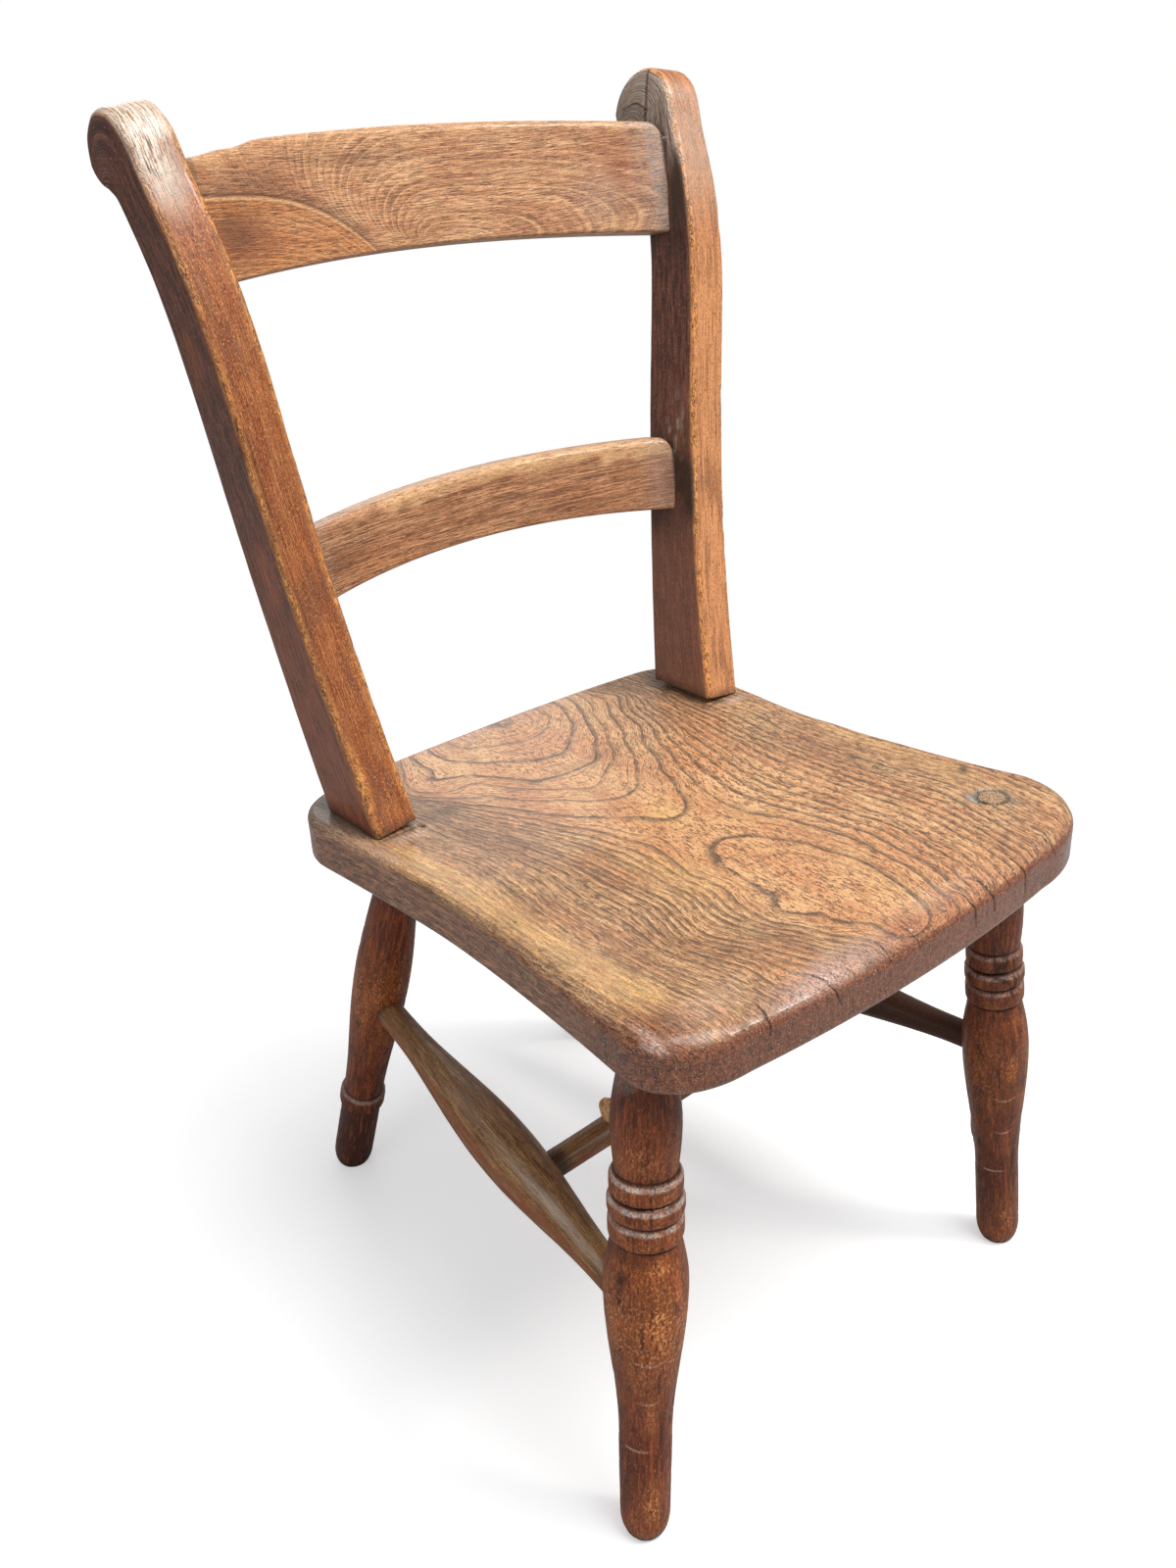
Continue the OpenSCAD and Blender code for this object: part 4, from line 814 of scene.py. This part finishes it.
def make_front_leg(side):
    # The left leg is slimmer, its ankle and foot a little, and its vase sits lower
    slim, thin, drop = (1.6, 0.5, 4.0) if side == LEFT else (0, 0, 0)
    length = np.linalg.norm(FRONT_TOP - FRONT_FOOT)
    top = length - 62.2
    grooves = low, mid, high, _ = top - 35.5, top - 22.5, top - 12, top
    vase, swell = (low - 26.5 - drop, 19.7 - slim), (length - 39, 15.9 - thin)
    profile = np.vstack([
        foot_points(12.3), sweep((13.6, 12.3), (59 - drop, 12.8 - thin), 30),
        [[59.5 - drop, 12.65 - thin]], sweep((60.4 - drop, 12.7 - thin), vase, 60),
        sweep(vase, (low, 15.7 - slim), 20, crest), bead(low, 13, 17.4 - slim, 2.4),
        bead(mid, 10.5, 17.7 - slim, 2.4), bead(high, 12, 16.75 - slim, 2.4), [[top, 14.3 - thin]],
        sweep((top, 14.3 - thin), swell, 16, rise), sweep(swell, (length, 12), 24),
        [[length + 14, 8.9], [length + 16, TENON_R], [length + 27.1, TENON_R], [length + 27.1, 4.0],
         [length + 27.1, 0.4]]])
    seed = 40 if side == RIGHT else 60

    def cracks(t, a, at):
        """Small drying cracks across the beads."""
        return bump(noise(np.stack([a * 16, t * 0.12, 0 * t], 1), (5, 3, 1), seed + 6), at, 0.10)

    def shape(t, a, local):
        beads = smooth(t, low, low + 2) * (1 - smooth(t, top - 2, top))
        out = -0.25 * bump(np.abs(noise(local, (9, 9, 30), seed + 4)), 0, 0.12) * (t < low)
        out -= 0.5 * cracks(t, a, 0.75) * beads + 0.12 * bump(t, 59.5, 1.2)
        return out + 1.2 * spot(t, a, (80, 5.28), (14, 0.3)) * (side == LEFT)

    points, faces, local, t, a, _ = lathe(
        FRONT_FOOT * [side, 1, 1], FRONT_TOP * [side, 1, 1], profile, 144, 0.62, seed, shape, floor=True)

    def vary(size, k):
        return noise(local, size, seed + k)

    # The left leg runs through the seat. Its end is flush with the seat's top, and the right one stays inside
    lid = SEAT_TOP - 0.35 if side == LEFT else SEAT_TOP - 6
    points[:, 2] = np.minimum(points[:, 2], lid + 0.12 * vary(4, 9))
    end = smooth(t, length + 21, length + 25) * (side == LEFT)
    in_beads = smooth(t, low - 1, low + 1) * (1 - smooth(t, top, top + 2))
    just_above = most(*(smooth(t, g - 3.8, g - 2.8) * (1 - smooth(t, g - 1.5, g - 0.8)) for g in grooves[1:]))
    scratch = bump(t - 14 * (a - 0.95) ** 2, 115, 0.9) * bump(a, 0.95, 0.5)
    scratch = scratch + bump(t - 9 * (a - 0.9) ** 2, 90, 0.8) * bump(a, 0.9, 0.45)
    pale_ring = bump(t, 60.0, 1.0) * bump(a, 0.2, 1.1)
    flecked = (0.8 * spot(t, a, (138, 1.15), (16, 0.42)) + 0.9 * spot(t, a, (169, 1.2), (7, 0.5))
               + 0.6 * spot(t, a, (80, 1.0), (12, 0.4)) + 0.6 * spot(t, a, (28, 1.1), (26, 0.5)))
    chamfer_dust_and_sheen, bright, smeared = (1.0, 1.0, 0.8) if side == RIGHT else (0.55, 0.45, 0)
    marks = {
        "grain": along_grain(local, a, end), "end": end,
        # Dust and a painted highlight on the beads' upper chamfers, less on the left leg, with scratches, a pale ring
        # and dust near the top
        "dust_and_sheen": chamfer_dust_and_sheen * just_above * (0.7 + 0.6 * vary(4, 2))
        + 0.35 * smooth(t, length - 30, length - 4) * (vary(7, 2) > 0) + 0.6 * scratch + 0.7 * pale_ring,
        "worn": bright * (0.85 * bump(t, 132, 58) * (0.65 + 0.5 * vary((8, 8, 26), 3))
                          + 0.6 * in_beads * (0.5 + 0.5 * vary((4, 4, 7), 5))
                          + 0.5 * bump(t, 226, 22) * (0.5 + 0.5 * vary(6, 5)) + flecked)
        + 0.45 * (1 - smooth(t, 0, 50)) * (0.6 + 0.5 * vary((4, 4, 9), 8)) + scratch + pale_ring,
        # The grooves between the beads are darkened as painted shade; the foot, the top end, a smear and the bead
        # cracks darken too
        "grime_and_shade": most(
            *(bump(t, g, 1.5) for g in grooves), 0.6 * (1 - smooth(t, 0.5, 5)),
            smeared * bump(t, 162, 8) * bump(a, 0.2, 0.35),
            0.45 * bump(t, low - 4, 7) * smooth(vary((7, 7, 9), 12), -0.3, 0.5),
            0.8 * cracks(t, a, 0.72) * in_beads, 0.9 * smooth(t, length - 4, length)) * (1 - end),
        # Darker towards the top, and the whole left leg darkened as painted shade
        "zone": 0.9 * smooth(t, length - 36, length - 10) + 0.42 * (side == LEFT)}
    piece("front_leg_turned_" + TAG[side], points, faces, marks, LEG, ["front_leg_" + TAG[side]])


def make_rear_leg(side):
    length = np.linalg.norm(REAR_TOP - REAR_FOOT)
    collar, belly = 62.0, (length - 112, 16.4)
    profile = np.vstack([
        foot_points(12.2), [[collar - 2, 12.2]], bead(collar, 14, 14.1, 1.9, 2.6),
        sweep((collar + 14, 12.2), belly, 50), sweep(belly, (length, 10.8), 50),
        [[length + 20, 8.5], [length + 20, 0.4]]])
    seed = 80 if side == RIGHT else 90

    def shape(t, a, local):
        return -0.2 * bump(np.abs(noise(local, (9, 9, 30), seed + 4)), 0, 0.12)

    points, faces, local, t, a, _ = lathe(
        REAR_FOOT * [side, 1, 1], REAR_TOP * [side, 1, 1], profile, 120, 0.8, seed, shape, floor=True)
    points[:, 2] = np.minimum(points[:, 2], SEAT_TOP - 6)
    marks = {
        # Dust with a painted highlight on the collar bead's chamfer
        "grain": along_grain(local, a), "end": 0, "dust_and_sheen": 0.5 * bump(t, collar + 12, 2.0),
        # The grooves round the collar bead are darkened as painted shade; the foot, the top end and patches on the
        # shank darken too
        "grime_and_shade": most(
            0.9 * bump(t, collar, 1.4), 0.9 * bump(t, collar + 14, 1.2), 0.5 * (1 - smooth(t, 4, 14)),
            0.7 * smooth(t, length - 8, length - 1),
            0.5 * bump(t, 146, 9) * smooth(noise(local, (6, 6, 8), seed + 1), -0.4, 0.6)),
        "worn": 0.75 * bump(t, 165, 70) * (0.5 + 0.6 * noise(local, (6, 6, 26), seed + 3)),
        "zone": 0.95 * (1 - smooth(t, 52, 92)) + 0.2 * smooth(t, 200, 250)}
    piece("rear_leg_turned_" + TAG[side], points, faces, marks, LEG, ["rear_leg_" + TAG[side]])


def stretcher_ends(side):
    rear_h, front_h = STRETCHER_H[side]
    rear = REAR_FOOT + (REAR_TOP - REAR_FOOT) * rear_h / UNDER
    front = FRONT_FOOT + (FRONT_TOP - FRONT_FOOT) * front_h / UNDER
    return rear * [side, 1, 1], front * [side, 1, 1]


def make_side_stretcher(side):
    rear, front = stretcher_ends(side)
    length = np.linalg.norm(front - rear)
    front_r, belly = (7.6, 14.25) if side == LEFT else (8.2, 15.6)
    profile = np.vstack([
        [[0, 0.4], [0, 8.2], [30, 8.2]], sweep((30, 8.2), (150, belly), 60),
        sweep((150, belly), (length - 22, front_r), 60), [[length, front_r], [length, 0.4]]])
    seed = 100 if side == RIGHT else 110
    points, faces, local, t, a, out = lathe(rear, front, profile, 104, 1.0, seed)
    turn = np.arctan2(out[:, 0] * side, out[:, 2])      # from the top outwards
    # The whitish band along the ridge is a painted highlight, mostly in the front half and faint on the left
    ridge = bump(turn + 0.1 * noise(local, (6, 6, 30), seed + 4), 0.55, 0.4)
    worn = held(0.75 * ridge * (0.75 + 0.5 * noise(local, (6, 6, 40), seed + 3))
                * (0.25 * smooth(t, 70, 130) + 0.75 * smooth(t, 150, 205)))
    marks = {
        "grain": along_grain(local, a), "worn": worn * (0.3 if side == LEFT else 1), "under": smooth(turn, 0.9, 1.25),
        # Darker on the underside as painted shade, and at both ends where it meets the legs
        "grime_and_shade": 0.8 * (1 - smooth(t, 14, 24)) + 0.5 * smooth(t, length - 20, length - 14)
        + 0.5 * smooth(-out[:, 2], 0.6, 0.95),
        # The whole left stretcher is darkened as painted shade; each darkens near the front leg
        "zone": 0.5 * smooth(t, length - 40, length - 16) + 1.0 * (side == LEFT)}
    piece("side_stretcher_turned_" + TAG[side], points, faces, marks, STRETCHER, ["side_stretcher_" + TAG[side]])


def cross_ends():
    """Where the cross stretcher's axis meets those of the right and the left stretcher."""
    pairs = [stretcher_ends(side) for side in (RIGHT, LEFT)]
    return [rear + (front - rear) * CROSS_AT / np.linalg.norm(front - rear) for rear, front in pairs]


def make_cross_stretcher():
    right, left = cross_ends()
    length = np.linalg.norm(left - right)
    profile = np.vstack([
        [[3, 0.4], [3, 7.5], [24, 7.5]], sweep((24, 7.5), (length / 2, 8.5), 40),
        sweep((length / 2, 8.5), (length - 24, 7.5), 40), [[length - 3, 7.5], [length - 3, 0.4]]])
    points, faces, local, t, a, out = lathe(right, left, profile, 88, 1.0, 120)
    turn = np.arctan2(-out[:, 1], out[:, 2])            # from the top forwards
    marks = {
        "grain": along_grain(local, a), "zone": 0, "under": smooth(turn, 1.1, 1.4),
        # A painted highlight line along the upper front of the rod
        "worn": 0.6 * bump(turn, 0.9, 0.3) * (0.5 + 0.6 * noise(local, (6, 6, 30), 123)),
        "grime_and_shade": 0.8 * (1 - smooth(t, 16, 24)) + 0.8 * smooth(t, length - 24, length - 15)}
    piece("cross_stretcher_turned", points, faces, marks, STRETCHER, ["cross_stretcher"])


def make_peg():
    right, left = cross_ends()
    at = right + (left - right) * (PEG_X - right[0]) / (left[0] - right[0])
    way = np.array([-math.sin(PEG_LEAN), 0, math.cos(PEG_LEAN)])
    profile = np.array([[0, 0.2], [0, 4.75], [21, 4.75], [21.6, 4.2], [22, 3.6], [22, 0.2]])

    def shape(t, a, local):
        return -0.5 * smooth(np.cos(3 * a + 1), 0.2, 1) * smooth(t, 2, 8)

    points, faces, local, t, _, _ = lathe(at - 2 * way, at + 20 * way, profile, 56, 0.5, 130, shape)
    # The end is broken off unevenly
    points = points - way * (smooth(t, 15, 22) * (2.4 + 2.4 * noise(local * [1, 1, 0], 2.6, 133)))[:, None]
    piece("peg_whittled", points, faces, {"grain": local}, PEG, ["stretcher_peg"])


# The back posts

def post_point(w, depth, along, side):
    """A point of a post, from its distance in from the outer face, its depth and its place along the post."""
    x = POST_OUT - w * math.cos(SPLAY) + along * math.sin(SPLAY)
    z = SEAT_TOP + w * math.sin(SPLAY) + along * math.cos(SPLAY)
    return np.stack([side * x, Y_POST + depth, z], -1)


def post_lines():
    """The front and back lines of a post's side view as [depth, along] points, from the foot to the scroll's tip."""
    front = cubic([[0, 0], [51.7, 202.2], [18.9, 227], [POST_BACK, POST_L]], 160)
    centre = np.array([POST_BACK + SCROLL_R + 1, POST_L + 3])
    tip = centre + [SCROLL_R - TIP_R, -SCROLL_DIP]
    front = resampled(np.vstack([front, arc(centre, SCROLL_R, math.pi, 0, 70)]), 0.9)
    back = cubic([[POST_FOOT, 0], [POST_FOOT + 34.3, 224.1], [POST_FOOT + 11.4, 226.9], NOTCH], 160)
    back = resampled(np.vstack([back, arc(tip, TIP_R, -math.pi / 2, 0, 24)]), 0.9)
    # The hollow where the front runs into the scroll is worn soft
    worn = bump(np.hypot(*(front - [POST_BACK, POST_L + 2]).T), 0, 34)[:, None]
    return softened(front, 3) * (1 - worn) + softened(front, 21) * worn, softened(back, 3)


def make_post(side):
    rows, cut = 460, 358
    seed = 200 if side == RIGHT else 230

    def stations(line, bend):
        """The same number of stations on both lines, so that the sections lie across the post."""
        at = np.concatenate([np.linspace(0, bend, cut), np.linspace(bend, len(line) - 1, rows - cut + 1)[1:]])
        return np.stack([np.interp(at, np.arange(len(line)), line[:, k]) for k in (0, 1)], 1)

    def split(D, L, W, half):
        """The crack in the left scroll's end, from the top down."""
        return bump(D, 84.5, half) * smooth(L, 296, 302) * smooth(W, POST_W - 2.5, POST_W - 0.5) * (side == LEFT)

    front, back = post_lines()
    F = stations(front, np.argmax(front[:, 1] > POST_L + 1))
    B = stations(back, np.argmax(back[:, 1] > NOTCH[1] - 4))
    span = np.linalg.norm(B - F, axis=1)
    # The arrises are rounder towards the scroll, where hands have worn them
    high = smooth(F[:, 1], POST_L - 90, POST_L)
    radii = [np.minimum(r + more * high, span * 0.5) for r, more in ((2.4, 1.4), (1.8, 1.2), (1.8, 1.2), (2.8, 1.4))]
    # U runs from the front line to the back line, W from the outer face inwards, D to the back and L along the post
    U, W = rounded_box(span, POST_W, radii, (15, 15, 15, 15))
    D, L = np.moveaxis(F[:, None] + (B - F)[:, None] * (U / np.maximum(span, 1e-6)[:, None])[..., None], -1, 0)
    local = np.stack([W, D, L], -1)
    flat = local.reshape(-1, 3)
    # Unevenness: drawn in a little everywhere, more along the worn front arrises
    uneven = 0.14 * (1 + noise(flat, (13, 13, 40), seed)) + 0.07 * noise(flat, (5, 5, 10), seed + 1)
    nick = held(noise(flat * [0, 0, 1] + [seed, 0, 0], (1, 1, 9), seed + 2) - 0.35)
    arris = (bump(W, 0, 4) + bump(W, POST_W, 4)) * bump(U, 0, 4)
    uneven = uneven.reshape(W.shape) + 0.9 * arris * nick.reshape(W.shape)
    mid = POST_W / 2
    worn_w = W + np.sign(mid - W) * uneven * smooth(np.abs(W - mid), mid - 3, mid - 0.5) - 2.0 * split(D, L, W, 0.8)
    worn_d = D + uneven * (0.8 * bump(U, 0, 3) - 0.6 * bump(U - span[:, None], 0, 3))
    rings = post_point(worn_w, worn_d, np.maximum(L, -2), side)
    rings[..., 2] = np.maximum(rings[..., 2], SEAT_TOP - 0.6)
    points, faces = tube(rings)
    local, W, D, L, U, span = (capped(v) for v in (local, W, D, L, U, np.broadcast_to(span[:, None], W.shape)))

    def vary(size, k):
        return noise(local, size, seed + k)

    front_face = 1 - smooth(U, 1.2, 3.6)
    along_arris = held(bump(W, 0.9, 2.8) + bump(W, POST_W - 1.6, 3.2)) * (1 - smooth(U, 1.4, 3.6))
    worn = held(along_arris * (0.85 + 0.9 * vary((2.5, 2.5, 14), 3))
                + 0.12 * front_face * smooth(vary((5, 5, 30), 4), -0.2, 0.7))
    dark_line, ends = 0, 0.75
    if side == RIGHT:
        ends = 0.55
        worn = worn + 0.9 * spot(W, L, (3.4, 32), (3.4, 28)) * front_face
        dark_line = 0.8 * bump(W + 1.2 * noise(local * [0, 0, 1], (1, 1, 60), seed + 5), 5.0, 0.9) * front_face
        dark_line *= smooth(L, 40, 90) * (1 - smooth(L, 230, 290)) * smooth(vary((3, 3, 14), 6), -0.5, 0.1)
        red = held(spot(D, L, (44, 135), (10, 26)) + 0.6 * (1 - smooth(L, 60, 190))
                   + 0.6 * spot(D, L, (60, 235), (12, 26)))
        own = {"light": 0, "red": red * (1 - smooth(W, 3, 9)),
               # Dust with a painted highlight over the scroll's top
               "dust_and_sheen": front_face * (1.2 * spot(W, L, (9, 322), (17, 34)) + 0.6 * smooth(L, 322, 334))}
    else:
        inner = smooth(W, POST_W - 2, POST_W)
        own = {"light": 1 - 0.7 * smooth(L, 225, 300) - 0.95 * inner * smooth(L, 70, 210), "red": 0,
               "dust_and_sheen": 0.3 * front_face * smooth(L, 250, 300) * (1 - smooth(L, 326, 337))
               + 0.75 * inner * smooth(L, 280, 306)
               + 0.7 * inner * spot(D, L, (45, 140), (14, 44)) * smooth(vary((1.6, 1.6, 5), 9), 0, 0.5)}
    rail_ends = most(bump(L, 280.5, 57), bump(L, 120, 46)) * smooth(W, POST_W - 1.5, POST_W)
    marks = {
        "grain": np.stack([W, U, L], 1), "zone": 1 - front_face, "worn": worn, **own,
        "grime_and_shade": most(
            0.85 * (1 - smooth(L, 0.5, 7)) * (0.75 + 0.25 * vary(3, 7)),
            ends * rail_ends * (1.2 + 0.9 * vary((9, 9, 16), 8)),
            split(D, L, W, 1.6), dark_line, 0.35 * smooth(U, span - 3, span))}
    piece("back_post_sawn_" + TAG[side], points, faces, marks, POST, ["back_post_" + TAG[side]])


# The rails

def inner_x(z):
    """How far out the posts' inner faces lie at a height."""
    return POST_OUT - POST_W / math.cos(SPLAY) + (z - SEAT_TOP) * math.tan(SPLAY)


def make_rail(rail, name, node):
    up, high, inn, tilt, bow, climb, grow, arch, crown = rail
    top_rail = rail is TOP_RAIL
    chord = inner_x(SEAT_TOP + up + high / 2)
    radius = (chord * chord + bow * bow) / (2 * bow)
    xs = np.linspace(-chord - 6, chord + 6, 360 if top_rail else 300)
    at_right, bulge = (chord - xs) / (2 * chord), 1 - (xs / chord) ** 2
    low = climb * at_right + arch * bulge
    top = high + (climb + grow) * at_right + crown * bulge
    corner = np.clip((xs if top_rail else np.abs(xs)) - chord + 6, 0, 6)
    top = top - (6 - np.sqrt(36 - corner ** 2))
    seed = 300 if top_rail else 320
    if top_rail:
        # The top corner by the right post is broken away
        top = top - 3.4 * (1 - smooth(xs, -chord + 26, -chord + 46)) * (1 - 0.35 * smooth(xs, -chord + 4, -chord + 20))
    # T is the depth behind the front face, H the height
    H, T = rounded_box(top - low, RAIL_T, (1.6, 4.2, 4.2, 1.6), (78 if top_rail else 44, 8, 16, 8))
    H = H + low[:, None]
    X = np.broadcast_to(xs[:, None], T.shape)
    local = np.stack([H, T, X], -1)
    flat = local.reshape(-1, 3)
    uneven = (0.14 * (1 + noise(flat, (14, 14, 50), seed)) + 0.06 * noise(flat, (5, 5, 9), seed + 1)).reshape(T.shape)
    # The faces are arcs about one centre, so a point's depth is laid off from the front face's arc
    behind = T + np.sign(RAIL_T / 2 - T) * uneven * 0.8
    Y = bow - radius + np.sqrt(np.maximum((radius + behind) ** 2 - X ** 2, 0))
    worn_h = H - uneven * smooth(H, 0, 1) * bump(H - top[:, None], 0, 3)
    c, s = math.cos(math.radians(tilt)), math.sin(math.radians(tilt))
    z = SEAT_TOP + up - Y * s + worn_h * c
    # The ends stop at the posts' inner faces
    limit = inner_x(z) + 0.6
    points, faces = tube(np.stack([np.clip(X, -limit, limit), Y_POST + inn + Y * c + worn_h * s, z], -1))
    local = capped(local)
    H, T, X = local.T
    rel = (H - np.interp(X, xs, low)) / np.interp(X, xs, top - low)

    def vary(size, k):
        return noise(local, size, seed + k)

    if top_rail:
        # A seam of straighter grain at the right end
        seam_h = 42.7 - 30.7 * (np.clip(X + 138, 0, 130) / 100) ** 3.3
        # Arches that all spring from one place on the lower edge, with long tails to the left end
        focus = np.interp(4, xs, low) - 1.5
        over = np.maximum(H - focus, 2.0)
        round_end, tails = ((X - 4) / 1.95) ** 2 / over + over, np.hypot((X - 4) / 3.8, H - focus)
        arches = np.where(X > 4, tails, round_end) / 4.0 + 0.3 * vary((14, 14, 40), 6)
        flared = smooth(-X - 0.4 * (H - 30), 52, 80)
        straight = 40 + (H - seam_h) / 3.0 + 0.25 * vary((12, 12, 60), 7)
        blend = (1 - smooth(H - seam_h, -0.8, 0.8)) * (1 - smooth(X, -40, -31))
        seam_fade = 1 - smooth(X, -46, -32)
        pinched = (1 - smooth(H - focus, 2, 9)) * (X < 4)
        years = arches * (1 - blend) + straight * blend
        own = {
            "zone": blend * (0.75 + 0.3 * vary((9, 9, 26), 8)), "hatch": 0.4 * (1 - flared * (1 - blend)),
            "deep": most(0.95 * flared, pinched) * (1 - blend),
            "red": spot(X, H, (112, 38), (26, 34)) + spot(X, H, (-120, 24), (34, 20)),
            "grime_and_shade": most(
                (0.7 * bump(H, seam_h + 1.0, 1.3) + 0.4 * bump(H, seam_h + 4, 4.5)) * seam_fade,
                0.6 * spot(X, H, (70, 54), (7, 3.5)), 0.42 * (1 - blend) * spot(X, H, (-104, 48), (34, 10)),
                0.5 * blend * spot(X, H, (-123, 27), (29, 18)), 0.35 * spot(X, H, (-40, 56), (60, 6)),
                # A painted shade line where the rail's ends meet the posts
                smooth(X, chord - 1.5, chord), 0.5 - 0.5 * smooth(X, -chord, -chord + 2.5)),
            "dust_and_sheen": 0.4 * smooth(X, chord - 24, chord - 12) + 0.4 * spot(X, H, (100, 24), (26, 20))
            + smooth(X, chord - 11, chord - 6) * (0.8 + 0.3 * vary(9, 4))}
        pale_seam = 1.1 * bump(H, seam_h - 0.8, 1.2) * seam_fade
        share, edge, reach = 0.55, (0.82, 0.97), 1
    else:
        years = H / 4.4 + 0.15 * vary((12, 12, 90), 5)
        own = {
            "zone": 0.5 * spot(X, H, (-80, 16), (40, 12)), "hatch": 0.9, "deep": 0.75,
            "red": 0.8 * spot(X, H, (116, 16), (34, 20)),
            # Painted shade lines where the ends meet the posts, and darker patches
            "grime_and_shade": most(smooth(X, chord - 1.5, chord), 1 - smooth(X, -chord, -chord + 3),
                          0.3 * spot(X, H, (-100, 24), (26, 20)), 0.5 * spot(X, H, (-100, 2), (22, 6))),
            "dust_and_sheen": 0.5 * smooth(X, chord - 24, chord - 6) + 0.4 * (1 - smooth(X, -chord, -chord + 16))}
        pale_seam, share, edge, reach = 0, 1, (0.74, 0.86), smooth(X, -118, -60)
    edge_wear = smooth(rel + 0.1 * vary((4, 4, 9), 9), *edge) * (0.8 + 0.5 * vary((6, 6, 26), 2)) * reach
    low_wear = 0.5 * (1 - smooth(rel, 0.0, 0.06)) * (0.5 + 0.5 * vary((6, 6, 20), 3))
    marks = {"grain": local, "flow": np.stack([years, X, H + T], 1), **own,
             "worn": (edge_wear * share + low_wear + pale_seam) * (T < RAIL_T * 0.8)}
    piece(name, points, faces, marks, RAIL, [node])


make_seat()
for s in (RIGHT, LEFT):
    make_front_leg(s)
    make_rear_leg(s)
    make_side_stretcher(s)
    make_post(s)
make_cross_stretcher()
make_peg()
make_rail(TOP_RAIL, "top_rail_bent", "top_rail")
make_rail(LOW_RAIL, "lower_rail_bent", "lower_rail")
# The wedges keep their CAD solids, with a wood in place of the plain slot
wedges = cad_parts["post_wedges"].data.materials
wedges.clear()
wedges.append(WEDGE)


# Floor, light and camera

def plain_floor():
    mesh = bpy.data.meshes.new("floor")
    half = 30.0
    mesh.from_pydata([(-half, -half, 0), (half, -half, 0), (half, half, 0), (-half, half, 0)], [], [(0, 1, 2, 3)])
    floor = bpy.data.objects.new("floor", mesh)
    scene.collection.objects.link(floor)
    material = bpy.data.materials.new("floor_white")
    g = Graph(material)
    g.nodes.clear()
    # The camera sees it paler than it lights the chair, and white in the distance
    ray = g.node("LightPath", "Is Camera Ray")
    tone = g.node("Mix", 2, {0: ray, 6: (0.36, 0.35, 0.34, 1), 7: (0.8, 0.8, 0.8, 1)}, data_type="RGBA")
    lit = g.node("AddShader", 0, {0: g.node("BsdfDiffuse", 0, {"Color": tone}),
                                  1: g.node("Emission", 0, {"Strength": ray * 0.42})})
    far = g.node("VectorMath", "Value", {0: g.node("TexCoord", "Object")}, operation="LENGTH")
    g.surface("Material", g.node("MixShader", 0, {0: g.step(far, 0.45, 0.95) * ray, 1: lit, 2: g.node("Emission", 0)}))
    mesh.materials.append(material)


def pale_world():
    scene.world = bpy.data.worlds.new("studio")
    g = Graph(scene.world)
    g.nodes.clear()
    seen = g.node("Background", 0, {"Color": (1, 1, 1, 1), "Strength": 1.0})
    lit = g.node("Background", 0, {"Color": (0.97, 0.98, 1.0, 1), "Strength": 0.34})
    g.surface("World", g.node("MixShader", 0, {0: g.node("LightPath", "Is Camera Ray"), 1: lit, 2: seen}))


def softbox(name, place, aim, size, power, colour=(1, 1, 1)):
    light = bpy.data.lights.new(name, "AREA")
    light.shape = "RECTANGLE"
    light.size, light.size_y = size
    light.energy = power
    light.color = colour
    lamp = bpy.data.objects.new(name, light)
    scene.collection.objects.link(lamp)
    lamp.location = place
    away = lamp.location - type(lamp.location)(aim)
    lamp.rotation_euler = away.to_track_quat("Z", "Y").to_euler()


plain_floor()
pale_world()
softbox("sky", (0.30, -0.75, 2.15), (0.0, -0.05, 0.3), (1.3, 1.1), 42)
softbox("side", (-1.9, -0.35, 0.95), (0.0, 0.0, 0.28), (1.1, 0.9), 6.5, (0.97, 0.98, 1.0))
softbox("back", (0.9, 2.0, 1.3), (0.0, 0.0, 0.3), (1.2, 1.0), 6, (0.98, 0.99, 1.0))
softbox("sun", (1.1, -1.5, 2.3), (0.0, 0.0, 0.3), (0.35, 0.35), 16, (1.0, 0.97, 0.92))

# Camera of the photograph: place in mm, turn, tilt and roll in degrees, focal length in pixels of 1600
CAMERA_AT = np.array([-460.4856, -518.8201, 648.6195])
YAW, PITCH, ROLL = (math.radians(v) for v in (39.5725, -26.4465, -2.9359))
FOCAL, TALL, SENSOR = 1500.0, 1600.0, 36.0
forward = np.array([math.cos(PITCH) * math.sin(YAW), math.cos(PITCH) * math.cos(YAW), math.sin(PITCH)])
level = np.array([math.cos(YAW), -math.sin(YAW), 0.0])
upright = np.cross(level, forward)
across = math.cos(ROLL) * level + math.sin(ROLL) * upright
upward = -math.sin(ROLL) * level + math.cos(ROLL) * upright
camera = bpy.data.objects.new("camera", bpy.data.cameras.new("camera"))
camera.data.sensor_width = SENSOR
camera.data.lens = SENSOR * FOCAL / TALL
camera.data.clip_start, camera.data.clip_end = 0.05, 100.0
turned = np.eye(4)
turned[:3] = np.stack([across, upward, -forward, CAMERA_AT * MM], 1)
camera.matrix_world = Matrix(turned.tolist())
scene.collection.objects.link(camera)
scene.camera = camera
scene.view_settings.view_transform = "Standard"
